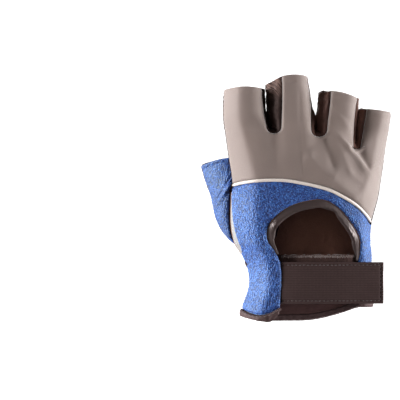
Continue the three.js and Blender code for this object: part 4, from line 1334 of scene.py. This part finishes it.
def sew(name, slot, paths, material, length=2.1, gap=0.9, radius=0.26):
    """Lays threads along each path of places and normals."""
    points, faces = [], []
    profile = ((0.0, 0.3, -0.9), (0.14, 0.85, -0.1), (0.5, 1.0, 0.25), (0.86, 0.85, -0.1), (1.0, 0.3, -0.9))
    for path in paths:
        far = run_of([place for place, _ in path])
        count = max(1, round(far[-1] / (length + gap)))
        size = min(length, far[-1])

        def at(distance):
            k = 0
            while k < len(far) - 2 and far[k + 1] < distance:
                k += 1
            t = clamp((distance - far[k]) / max(1e-6, far[k + 1] - far[k]))
            return path[k][0].lerp(path[k + 1][0], t), path[k][1].lerp(path[k + 1][1], t)

        for n in range(count):
            middle = (n + 0.5) * far[-1] / count
            (start, up), (end, _) = at(middle - size / 2), at(middle + size / 2)
            aside = (end - start).cross(up).normalized()
            first = len(points)
            for t, wide, rise in profile:
                place = start.lerp(end, t) + up * radius * rise
                for k in range(6):
                    a = k * math.pi / 3
                    points.append(place + (aside * math.cos(a) + up * math.sin(a)) * radius * wide)
            for ring in range(len(profile) - 1):
                for k in range(6):
                    a, b = first + ring * 6 + k, first + ring * 6 + (k + 1) % 6
                    faces.append((a, b, b + 6, a + 6))
            faces.append(tuple(first + k for k in range(5, -1, -1)))
            faces.append(tuple(first + 6 * (len(profile) - 1) + k for k in range(6)))
    return finish_piece(turn_outward(new_object(name, points, faces, [material])), slot)


hem_paths = []
for stall in palm.stalls:
    for row in (stall[-8], stall[-11]):
        hem_paths.append(row_path(palm, row[1:-1]))
hem_paths += [row_path(strip, strip.rows[-8][1:-1]), row_path(strip, strip.rows[-11][1:-1])]
sew("stall_hem_stitches", "leather", hem_paths, THREAD)

# %% [markdown]
# ## The piping
#
# A thin cord, wrapped in glossy tape, is sewn into the seam between the stretch cloth and the terry. It is
# swept along the same curve that both edges follow, and sinks half its height between them.

# %% Sweeping a section along a path


def sweep(name, places, sections, materials, pick_material=None):
    """A closed body: each section's points stand round its place on (aside, up) axes. The ends are closed."""
    sides = len(sections[0])
    points = []
    for (place, aside, up), section in zip(places, sections):
        points += [place + aside * a + up * b for a, b in section]
    faces = []
    picks = []
    for r in range(len(places) - 1):
        for c in range(sides):
            n = (c + 1) % sides
            faces.append((r * sides + c, r * sides + n, (r + 1) * sides + n, (r + 1) * sides + c))
            picks.append(pick_material(c) if pick_material else 0)
    last = (len(places) - 1) * sides
    for ring, turned in ((range(sides), True), (range(last, last + sides), False)):
        middle = sum((points[i] for i in ring), Vector()) / sides
        points.append(middle)
        ring = list(ring)
        for c in range(sides):
            a, b = ring[c], ring[(c + 1) % sides]
            faces.append((len(points) - 1, b, a) if turned else (len(points) - 1, a, b))
            picks.append(0)
    obj = new_object(name, points, faces, materials)
    obj.data.polygons.foreach_set("material_index", picks)
    return turn_outward(obj)


def round_section(radius, sides=14):
    return [(radius * math.cos(2 * math.pi * s / sides), radius * math.sin(2 * math.pi * s / sides))
            for s in range(sides)]


def axes(before, after, up_hint=Vector((0, 0, 1))):
    along = (after - before).normalized()
    aside = along.cross(up_hint).normalized()
    return aside, aside.cross(along).normalized()


# %% The cord of the piping
def piping_point(t):
    x = lerp(PIPING_ENDS[0] + 0.45, PIPING_ENDS[1] - 0.45, t)
    y = read(PIPING, "y", x)
    return Vector((x, y, back_height(x, y) - PIPING_RADIUS * 0.42))


places, sections = [], []
count = 170
for i in range(count + 1):
    t = i / count
    aside, up = axes(piping_point(t - 0.004), piping_point(t + 0.004))
    places.append((piping_point(t), aside, up))
    end = min(i, count - i)
    rounding = math.sqrt(1 - (1 - min(end, 3) / 3) ** 2) if end < 3 else 1.0
    pull = 1 - 0.05 * abs(math.sin(i * 0.62))
    sections.append(round_section(PIPING_RADIUS * max(0.25, rounding) * pull))
piping_cord = sweep("piping_cord", places, sections, [PIPING_COVER])
finish_piece(piping_cord, "piping", "piping")

# %% [markdown]
# ## The terry
#
# Terry cloth has loops on its face. The panel's own points are close enough together to stand the loops up:
# a cell pattern raises a knot about a millimetre wide for each loop, and the raised share is kept as an
# attribute, so that the colour carries painted shade between the loops and painted highlights on them.

# %% Raising the pile


def raise_pile(obj, count, height, calm):
    """Moves the first points of a walled sheet out to loops. calm is 0 where the pile is pressed flat."""
    mesh = obj.data
    normals = [v.normal.copy() for v in mesh.vertices]
    raised = [0.0] * len(mesh.vertices)
    for i in range(count):
        x, y, z = mesh.vertices[i].co / MM
        near, next_near = noise.voronoi(Vector((1.25 * x + 0.45 * y, 0.86 * y - 0.26 * x, z)))[0][:2]
        clump = noise.fractal(Vector((x, y, z)) * 0.3, 1.0, 2.0, 2)
        knot = clamp(1.15 - near * 1.5) * 0.75 + 0.25 * clamp((next_near - near) * 1.8)
        raised[i] = clamp(knot + 0.14 * clump)
        mesh.vertices[i].co += normals[i] * MM * height * (raised[i] - 0.3) * calm[i]
    mesh.attributes.new("pile", "FLOAT", "POINT").data.foreach_set("value", raised)


TERRY_TOP = {"left": piping_edge(PIPING_ENDS[0], -1), "right": piping_edge(PIPING_ENDS[1], -1)}
RIGHT_LEG_FOOT = palm_foot(WRIST_ENDS[1])
TERRY_ROWS = {"left": 165, "top": 225, "right": 105}
TERRY_CROWDING = 0.65
TERRY_COLUMNS = 86


def terry_edges(stretch, share):
    """The terry's two edges at a share of one of its three stretches: left leg, top and right leg."""
    if stretch == "left":
        return VENT(VENT_LEFT * share), left_side(lerp(LEG_FOOT["outer"], TERRY_TOP["left"], share))
    if stretch == "right":
        return VENT(lerp(VENT_RIGHT, 1, share)), right_side(lerp(TERRY_TOP["right"], RIGHT_LEG_FOOT, share))
    if share == 1:
        return VENT(VENT_RIGHT), right_side(TERRY_TOP["right"])
    x = lerp(left_side(TERRY_TOP["left"])[0], right_side(TERRY_TOP["right"])[0], share)
    return VENT(lerp(VENT_LEFT, VENT_RIGHT, share)), (x, piping_edge(x, -1))


def foot_sag(share, across):
    return LEG_FOOT["sag"] * (1 - share) ** 3 * math.sin(math.pi * clamp(across)) ** LEG_FOOT["roundness"]


def even_line(point_at, count):
    """Points that cut a path into equal lengths."""
    knots = [point_at(i / (3 * count)) for i in range(3 * count + 1)]
    far = run_of(knots)
    line, k = [], 0
    for i in range(count + 1):
        target = far[-1] * i / count
        while k < len(far) - 2 and far[k + 1] < target:
            k += 1
        line.append(knots[k].lerp(knots[k + 1], clamp((target - far[k]) / max(1e-9, far[k + 1] - far[k]))))
    return line


def terry_net():
    stations = []
    for stretch, count in TERRY_ROWS.items():
        for r in range(0 if stretch == "left" else 1, count + 1):
            t = r / count
            crowded = lerp(t, (1 - math.cos(math.pi * t)) / 2, TERRY_CROWDING) if stretch == "top" else t
            stations.append((stretch, crowded))
    lines = []
    for stretch, share in stations:
        inner, outer = terry_edges(stretch, share)

        def point_at(across):
            x = lerp(inner.x, outer[0], across)
            y = lerp(inner.y, outer[1], across) - (foot_sag(share, across) if stretch == "left" else 0)
            return Vector((x, y, back_height(x, y)))

        lines.append(even_line(point_at, TERRY_COLUMNS))
    last = len(lines) - 1
    return grid_net(last, TERRY_COLUMNS, lambda a, b: lines[round(a * last)][round(b * TERRY_COLUMNS)], False)


terry = terry_net()

# %% The selvage beside the thumb


def selvage_width(y):
    """A flat pale tape shows along the thumb's seam, and widens towards the wrist."""
    return 3.1 * clamp((10 - y) / 38) ** 1.4 * clamp((y + 38) / 6)


selvage, raw = [], []
for point in terry.points:
    d = point.x - read(HAND, "left", point.y)
    width = selvage_width(point.y) if point.x < 0 else 0.0
    selvage.append(clamp(0.5 + (width - d) / 0.5) if width > 0.2 else 0.0)
    raw.append(clamp(0.5 + (0.45 - d) / 0.3) if width > 0.2 else 0.0)
laid_over = {i for i, width in enumerate(raw) if width > 0}
terry_seam = turn_in(terry, depth=1.0, reach=2.2, keep=laid_over)
calm = [clamp(d / 1.1) * (1 - s) for d, s in zip(terry_seam, selvage)]
sheet_piece(terry, "terry_cloth", "terry", "terry_panel", [TERRY, TERRY_INSIDE], WALL["terry"],
            "stretched", ["palm_leather", "vent_binding_leather"], marks={"selvage": selvage, "raw": raw},
            pile=calm, inner=1)

# %% [markdown]
# ## The rolled edges
#
# The vent and the wrist are bound with soft leather. At the vent the leather is rolled over the terry's edge:
# its cut edge shows as a thin tan line outside, then comes the stitched valley, then a lip that stands up. It
# bunches up in creases where the vent's edge bends hardest, and tapers off beside the strap.

# %% The vent's binding
ROLL = {"reach": 2.75, "thickness": 2.3, "sunk": 1.0, "crest": 0.3}


def roll_section(reach, thickness):
    """From the cut edge over a stitched valley, up to the lip and over it, and back underneath."""
    section = []
    crest = ROLL["crest"]
    for k in range(19):
        u = -math.cos(math.pi * k / 18)
        if u < crest:
            lip = clamp((u + 0.84) / (0.84 + crest)) ** 0.85
        else:
            lip = math.sqrt(max(0.0, 1 - ((u - crest) / (1 - crest)) ** 2))
        edge = 0.2 * math.exp(-(((u + 0.94) / 0.08) ** 2))
        section.append((reach * u, thickness * max(lip, edge + 0.04)))
    for k in range(17, 0, -1):
        u = -math.cos(math.pi * k / 18)
        section.append((reach * u, -thickness * 0.8 * math.sqrt(max(0.0, 1 - u * u))))
    return section


start, end = VENT.nearest(-12.6, -37), VENT.nearest(41, -41)
gather_spots = [VENT.nearest(25, -4.2), VENT.nearest(-18.4, -27)]
gloss_spots = [(VENT.nearest(-15.5, -15), 5.5), (VENT.nearest(39, -21), 8)]
places, sections, gloss = [], [], []
count = 420
for i in range(count + 1):
    share = lerp(start, end, i / count)
    edge = VENT(share)
    along = (VENT(share + 0.004) - VENT(share - 0.004)).normalized()
    inside = Vector((along.y, -along.x, 0)).normalized()
    up = inside.cross(along).normalized()
    up = up if up.z > 0 else -up
    far = (share - start) * VENT.length
    gather = max(math.exp(-(((share - spot) * VENT.length / 5) ** 2)) for spot in gather_spots)
    to_end = (end - share) * VENT.length
    full = lerp(0.3, 1.0, ease(far / 16)) * lerp(0.45, 1.0, ease(to_end / 12))
    full *= 1 - 0.28 * math.exp(-((((share - gather_spots[0]) * VENT.length - 3) / 4) ** 2))
    shine = max(math.exp(-(((share - spot) * VENT.length / wide) ** 2)) for spot, wide in gloss_spots)
    reach, thickness = ROLL["reach"] * full, ROLL["thickness"] * lerp(0.5, 1, full) * lerp(0.45, 1, shine)
    gloss += [shine] * 36
    place = Vector((edge.x, edge.y, back_height(edge.x, edge.y) - ROLL["sunk"]))
    place += inside * (reach + 0.05)
    section = []
    for a, b in roll_section(reach, thickness):
        crease = noise.fractal(Vector((far * 0.75, a * 0.2, 3)), 0.9, 2.1, 3)
        dent = noise.fractal(Vector((far * 0.16, a * 0.5, 8)), 0.9, 2.1, 3)
        swell = 1 - (0.05 + 0.4 * gather) * abs(crease) - 0.25 * abs(dent)
        section.append((a * (1 - 0.04 * crease), b * swell if b > 0 else b))
    places.append((place, inside, up))
    sections.append(section)


def roll_material(c):
    return 1 if c < 2 or c == 35 else 0


vent_binding = sweep("vent_binding_leather", places, sections, [LEATHER_SOFT, RAW_EDGE], roll_material)
vent_binding.data.attributes.new("gloss", "FLOAT", "POINT").data.foreach_set("value", gloss + [0.0, 0.0])
finish_piece(vent_binding, "leather", "vent_binding")

# %% The wrist's binding


def cuff_net():
    """A band along the wrist: the terry leg's foot, then the whole palm, then a short return on the right."""
    on_leg, on_palm, on_return = 44, 170, 16
    leg_inner = WRIST_LEG[-1]["x"]
    stations = []
    for i in range(on_leg):
        out = i / on_leg
        x = lerp(leg_inner, WRIST_ENDS[0], out)
        foot = lerp(LEG_FOOT["top"], LEG_FOOT["outer"], out) - foot_sag(0, out)
        stations.append((True, x, None, foot, read(WRIST_LEG, "y", x)))
    for i in range(on_palm + 1):
        across = (1 - math.cos(i / on_palm * math.pi)) / 2
        x = lerp(WRIST_ENDS[0], WRIST_ENDS[1], across)
        stations.append((False, None, across, palm_foot(x), read(WRIST_PALM, "y", x)))
    for i in range(1, on_return + 1):
        across = 1 - (1 - CUFF["returns"][-1]) * (i / on_return) ** 1.3
        stations.append((True, None, across, RIGHT_LEG_FOOT, read(WRIST_PALM, "y", WRIST_ENDS[1])))

    def place(k, down):
        upper, x, across, foot, cut = stations[min(max(k, 0), len(stations) - 1)]
        y = lerp(foot, cut, down)
        left, right = left_side(y)[0], right_side(y)[0]
        x = max(left, x) if across is None else lerp(left, right, across)
        return Vector((x, y, back_height(x, y) if upper else palm_height(x, y)))

    def point_at(along, down):
        k = round(along * (len(stations) - 1))
        ahead, behind = place(k + 2, down), place(k - 2, down)
        out = Vector((ahead.z - behind.z, 0, behind.x - ahead.x)).normalized()
        return place(k, down) + out * CUFF["roll"] * math.sin(math.pi * down)

    return grid_net(len(stations) - 1, 14, point_at, False)


cuff = cuff_net()
cuff.cut.update(row[-1] for row in cuff.rows)
cuff_seam = turn_in(cuff, depth=0.55, reach=1.0)
wrinkle(cuff, 0.4, 0.3, cuff_seam, stretch=(1, 0.5, 1), seed=11.0)
sheet_piece(cuff, "cuff_binding_leather", "leather", "cuff_binding", [LEATHER_CUFF], WALL["binding"],
            "folded", ["palm_leather", "terry_cloth"], bevel=0.35)

# %% [markdown]
# ## The thumb
#
# The thumb's front and the ball under it are one piece of leather, and its back is terry. Each row of the net
# is an arch from the inner seam to the outer one, so the two halves close into a stall that lies on its side.

# %% The thumb's two halves


def thumb_net(inner, crest, rows, columns, face_up):
    """One half of the thumb. Its wall tapers off towards the pointed end."""
    def point(name, row):
        return Vector([read(THUMB, f"{name}_{axis}", row) for axis in "xyz"])

    def point_at(along, across):
        row = along * (len(THUMB) - 1)
        start, end = point(inner, row), point("outer", row)
        if inner == "front" and row > 6:
            seam = THENAR_CURVE(THENAR_CURVE.nearest(start.x, start.y))
            start = start.lerp(Vector((seam.x + 1.3, seam.y, palm_height(seam.x, seam.y))), ease(row - 6))
        rise = (point(crest, row) - (start + end) / 2) * CREST_PULL
        a, b = start + rise, end + rise
        t, s = across, 1 - across
        place = start * s ** 3 + a * 3 * s * s * t + b * 3 * s * t * t + end * t ** 3
        place.z = max(place.z, THUMB_REST)
        return place

    net = grid_net(rows, columns, point_at, face_up)
    net.cut.update(net.rows[0][1:-1])
    net.taper = [max(0.08, clamp((0.9 - r / rows) * 5)) for r in range(rows + 1) for _ in range(columns + 1)]
    return net


thumb = thumb_net("front", "low", 98, 64, False)
thumb_seam = turn_in(thumb)
raise_hem(thumb, thumb.cut, width=4.2, height=0.3)
wrinkle(thumb, 0.4, 0.12, thumb_seam, seed=2.0)
sheet_piece(thumb, "thumb_leather", "leather", "thumb_palm", [LEATHER, SUEDE], WALL["leather"], "laid",
            ["table_top"], bevel=0.2, inner=1, shares=thumb.taper)

THUMB_FOLDS = table(FOLD_COLUMNS, [
    (-42.2, 9.4, -52, -6.8, 1.9, 3, 1),
    (-43.9, 10.5, -53.7, -5.4, -1.4, 0.9, 2.6),
])
thumb_top = thumb_net("back", "high", 164, 96, True)
thumb_top.push(lambda i, point, normal: fold_height(point.x, point.y, THUMB_FOLDS) * clamp(normal.z))
thumb_top_seam = turn_in(thumb_top, depth=0.6, reach=1.6)
to_hem = raise_hem(thumb_top, thumb_top.cut, width=2.2, height=0.7)
calm = [clamp(min(d, max(0.3, h))) * t for d, h, t in zip(thumb_top_seam, to_hem, thumb_top.taper)]
sheet_piece(thumb_top, "thumb_terry", "terry", "thumb_back", [TERRY_THUMB, TERRY_INSIDE], WALL["terry"],
            "stretched", ["thumb_leather"], pile=calm, inner=1, shares=thumb_top.taper)

# %% [markdown]
# ## The padded oval
#
# The pad on the palm is a thin cushion under a second layer of leather. Its closed body is turned into even
# cells, and a short cloth simulation blows air into it while its sewn side is held. The pad swells between
# its seams, and it stays flat where the glove's weight rests on it. The seam is pressed in afterwards.

# %% The pad's body


def pad_net(rings, around):
    """The pad's underside, in rings from its centre out to its outline: thick inside, thin at the edge."""
    outline = [PAD_OUTLINE(i / around) for i in range(around)]
    net = Net()
    rows = []
    for r in range(rings + 1):
        scale = math.sin(lerp(0.14, 1.0, r / rings) * math.pi / 2)
        row = []
        for edge in outline:
            x, y = lerp(PAD_CENTRE.x, edge.x, scale), lerp(PAD_CENTRE.y, edge.y, scale)
            inside = (1 - scale) * (edge - PAD_CENTRE).length
            puff = PAD["thickness"] * math.sqrt(clamp(1 - (1 - clamp((inside + 0.4) / 6)) ** 2))
            top = palm_height(x, y) - PAD["gap"]
            row.append(net.add((x, y, max(FLOOR_GAP, top - max(0.4, puff)))))
        rows.append(row)
    net.rows = rows
    for upper, lower in zip(rows, rows[1:]):
        for c in range(around):
            n = (c + 1) % around
            net.faces.append((upper[c], upper[n], lower[n], lower[c]))
    return net


pad = pad_net(44, 220)
centre_ring = pad.rows[0]
middle = pad.add(sum((pad.points[i] for i in centre_ring), Vector()) / len(centre_ring))
count = len(pad.points)
upper = [Vector((p.x, p.y, palm_height(p.x, p.y) - PAD["gap"])) for p in pad.points]
faces = [face[::-1] for face in pad.faces]
faces += [tuple(i + count for i in face) for face in pad.faces]
around = len(centre_ring)
for c in range(around):
    n = (c + 1) % around
    a, b = pad.rows[-1][c], pad.rows[-1][n]
    faces.append((a, b, b + count, a + count))
    a, b = centre_ring[c], centre_ring[n]
    faces.append((middle, a, b))
    faces.append((middle + count, b + count, a + count))
palm_pad = new_object("palm_pad_leather", pad.points + upper, faces, [LEATHER])
turn_outward(palm_pad)

# %% Air in the pad


def fill_with_air(obj, cell, pressure, most):
    """Even cells, then twenty frames of cloth with air inside. The side that is sewn on doesn't move."""
    voxels = obj.modifiers.new("cells", "REMESH")
    voxels.mode = "VOXEL"
    voxels.voxel_size = cell * MM
    apply_all(obj)
    mesh = obj.data
    start = [v.co.copy() for v in mesh.vertices]
    sewn = obj.vertex_groups.new(name="sewn")
    sewn.add([v.index for v in mesh.vertices if v.normal.z > -0.3], 1.0, "REPLACE")
    cloth = obj.modifiers.new("air", "CLOTH")
    cloth.settings.use_pressure = True
    cloth.settings.uniform_pressure_force = pressure
    cloth.settings.vertex_group_mass = "sewn"
    cloth.settings.effector_weights.gravity = 0
    for step in range(1, 21):
        bpy.context.scene.frame_set(step)
    apply_all(obj)
    bpy.context.scene.frame_set(1)
    moved = 0.0
    for vertex, before in zip(mesh.vertices, start):
        move = vertex.co - before
        moved = max(moved, move.length / MM)
        vertex.co = before + move * min(1.0, most * MM / max(1e-9, move.length))
        vertex.co.z = max(FLOOR_GAP * MM, vertex.co.z)
    print(f"{len(start)} points, moved by up to {min(moved, most):.2f} mm")
    smooth = obj.modifiers.new("smooth", "SUBSURF")
    smooth.levels = smooth.render_levels = 1
    apply_all(obj)


fill_with_air(palm_pad, AIR["cell"], AIR["pressure"], AIR["most"])
edge_count = 900
edge_tree = KDTree(edge_count)
for k in range(edge_count):
    edge_tree.insert(PAD_OUTLINE(k / edge_count), k)
edge_tree.balance()
for vertex in palm_pad.data.vertices:
    place = vertex.co / MM - SHIFT
    nearest, _, far = edge_tree.find(Vector((place.x, place.y, 0)))
    if vertex.normal.z < -0.15:
        groove = PAD["groove"] * MM * math.exp(-(((far - PAD["seam"]) / 0.6) ** 2))
        vertex.co -= vertex.normal * groove
    highest = (palm_height(place.x, place.y) - PAD["gap"]) * MM
    vertex.co.z = min(highest, max(FLOOR_GAP * MM, vertex.co.z))
turn_outward(palm_pad)
palm_pad.data.polygons.foreach_set("use_smooth", [True] * len(palm_pad.data.polygons))
finish_piece(palm_pad, "leather", "palm_pad")

# %% [markdown]
# The seams of the palm side are sewn from plan lines. A vertical line through each point of the plan meets
# the leather from below, and gives the thread its place and the direction away from the surface.

# %% Threads on the palm side


def under_paths(obj, lines):
    """Places and normals where upright lines through plan points meet a piece from below."""
    mesh = obj.data
    places = [v.co / MM - SHIFT for v in mesh.vertices]
    tree = BVHTree.FromPolygons(places, [p.vertices for p in mesh.polygons])
    paths = []
    for line in lines:
        path = []
        for spot in line:
            place, normal, _, _ = tree.ray_cast(Vector((spot.x, spot.y, -30)), Vector((0, 0, 1)))
            if place is not None and normal.z < -0.25:
                path.append((place, normal))
        if len(path) > 3:
            paths.append(path)
    return paths


def beside(curve, start, end, off, count=120):
    """Plan points along a curve, moved aside by a distance: positive is to the right of its direction."""
    line = []
    for k in range(count + 1):
        share = lerp(start, end, k / count)
        ahead = (curve(min(1.0, share + 0.004)) - curve(max(0.0, share - 0.004))).normalized()
        line.append(curve(share) + Vector((ahead.y, -ahead.x, 0)) * off)
    return line


pad_lines = [
    beside(PAD_OUTLINE, 0, 1, PAD["seam"], 500),
    beside(PAD_OUTLINE, 0, 0.16, PAD["second_seam"]),
]
sew("pad_stitches", "leather", under_paths(palm_pad, pad_lines), THREAD)
STITCH_INSETS = (2.4, 4.6)
palm_lines = [beside(THENAR_CURVE, 0.12, 0.9, inset) for inset in STITCH_INSETS]
palm_lines += [beside(DIAGONAL, 0.12, 0.95, inset) for inset in STITCH_INSETS]
palm_paths = under_paths(palm_panel, palm_lines)
for stall in palm.stalls:
    for column in (3, 6, 30, 33):
        palm_paths.append(row_path(palm, [row[column] for row in stall[5:-13]]))
sew("palm_stitches", "leather", palm_paths, THREAD)
strip_paths = [row_path(strip, [row[column] for row in strip.rows[34:-1]]) for column in (3, 6, 16, 19)]
strip_paths += [row_path(strip, strip.rows[-24][3:20]), row_path(strip, strip.rows[-27][3:20])]
sew("strip_side_stitches", "leather", strip_paths, THREAD)
sew("cuff_stitches", "leather", [net_path(cuff, [(k / 300, 0.26) for k in range(301)])], THREAD)
thumb_paths = [row_path(thumb, thumb.rows[3][2:-2]), row_path(thumb, thumb.rows[5][2:-2])]
sew("thumb_hem_stitches", "leather", thumb_paths, THREAD)

# %% [markdown]
# ## The closure
#
# Three flat bands close the wrist. The strap is woven webbing with a row of stitches along each edge. Under
# it a shorter tab bridges the slit in the palm's wrist, and a fastener tape is sewn under the strap's end.

# %% The bands


def band_net(band, height_at, spacing=0.55):
    columns = round((band["right"] - band["left"]) / spacing)
    rows = round((band["top"] - band["bottom"]) / spacing)

    def point_at(down, along):
        x = lerp(band["left"], band["right"], along)
        y = lerp(band["top"], band["bottom"], down)
        return Vector((x, y, height_at(x) + STRAP["lean"] * (y - STRAP["top"])))

    net = grid_net(rows, columns, point_at, False)
    net.cut.update(net.border())
    return net


def sew_border(net, inset, depth):
    """A groove where the border's stitches pull the webbing down, and a rounding at its very edge."""
    far = distances(net, list(net.cut))

    def height_at(i, point, normal):
        groove = depth * math.exp(-(((far[i] - inset) / 0.5) ** 2))
        return -groove - 0.35 * math.exp(-((far[i] / 0.5) ** 2))

    net.push(height_at)


def soften_band(net, height, noise_at):
    """Slack or fuzz: a noise of the place moves each point along its normal."""
    net.push(lambda i, point, normal: height * noise_at(point))


def under_terry(tops, x, drop):
    """The bands go in under the terry's left leg."""
    z = read(tops, "z", x)
    return min(z, back_height(x, -55) - drop) if x < -9 else z


strap = band_net(STRAP, lambda x: under_terry(STRAP_TOP, x, 2.4))
sew_border(strap, STRAP_SEAM["inset"], STRAP_SEAM["depth"])
soften_band(strap, 0.3, lambda p: noise.fractal(Vector((p.x * 0.05, p.y * 0.11, 1.5)), 1.0, 2.0, 2))
sheet_piece(strap, "strap_band", "webbing", "closure_strap", [WEBBING, PILE_TAPE], STRAP["thickness"], "laid",
            ["terry_cloth", "loop_tab_band"], bevel=0.4, inner=1)
strap_size = STRAP["right"] - STRAP["left"], STRAP["top"] - STRAP["bottom"]
inset, start = STRAP_SEAM["inset"], STRAP_SEAM["start"] - STRAP["left"]
far, low = strap_size[0] - inset, strap_size[1] - inset
corners = [(start, inset), (far, inset), (far, low), (start, low)]
border_paths = []
for (x0, y0), (x1, y1) in zip(corners, corners[1:]):
    steps = [k / 40 for k in range(41)]
    spots = [(lerp(y0, y1, t) / strap_size[1], lerp(x0, x1, t) / strap_size[0]) for t in steps]
    border_paths.append(net_path(strap, spots))
sew("strap_stitches", "webbing", border_paths, STRAP_THREAD, length=1.9, gap=0.7, radius=0.24)

tab = band_net(UNDERLAP, lambda x: under_terry(UNDERLAP_TOP, x, 5.6))
soften_band(tab, 0.28, lambda p: noise.fractal(p * 0.9, 0.8, 2.1, 3))
sheet_piece(tab, "loop_tab_band", "webbing", "loop_tab", [PILE_TAPE], UNDERLAP["thickness"], "stretched",
            ["palm_leather"], bevel=0.25)
overlock = []
for k in range(66):
    along = (10 + k * 0.8) / (UNDERLAP["right"] - UNDERLAP["left"])
    depth = (2.2 + 0.5 * noise.noise(Vector((k * 0.7, 0, 0)))) / (UNDERLAP["top"] - UNDERLAP["bottom"])
    overlock.append(net_path(tab, [(0.008, along), (depth, along + 0.004)]))
sew("overlock_stitches", "webbing", overlock, FUZZ_THREAD, length=2.4, radius=0.2)

hook = band_net(HOOK_TAPE, lambda x: read(STRAP_TOP, "z", x) - STRAP["thickness"] - 0.05)
sheet_piece(hook, "hook_tape_band", "webbing", "hook_tape", [PILE_TAPE], HOOK_TAPE["thickness"], "laid",
            ["strap_band"], bevel=0.2)
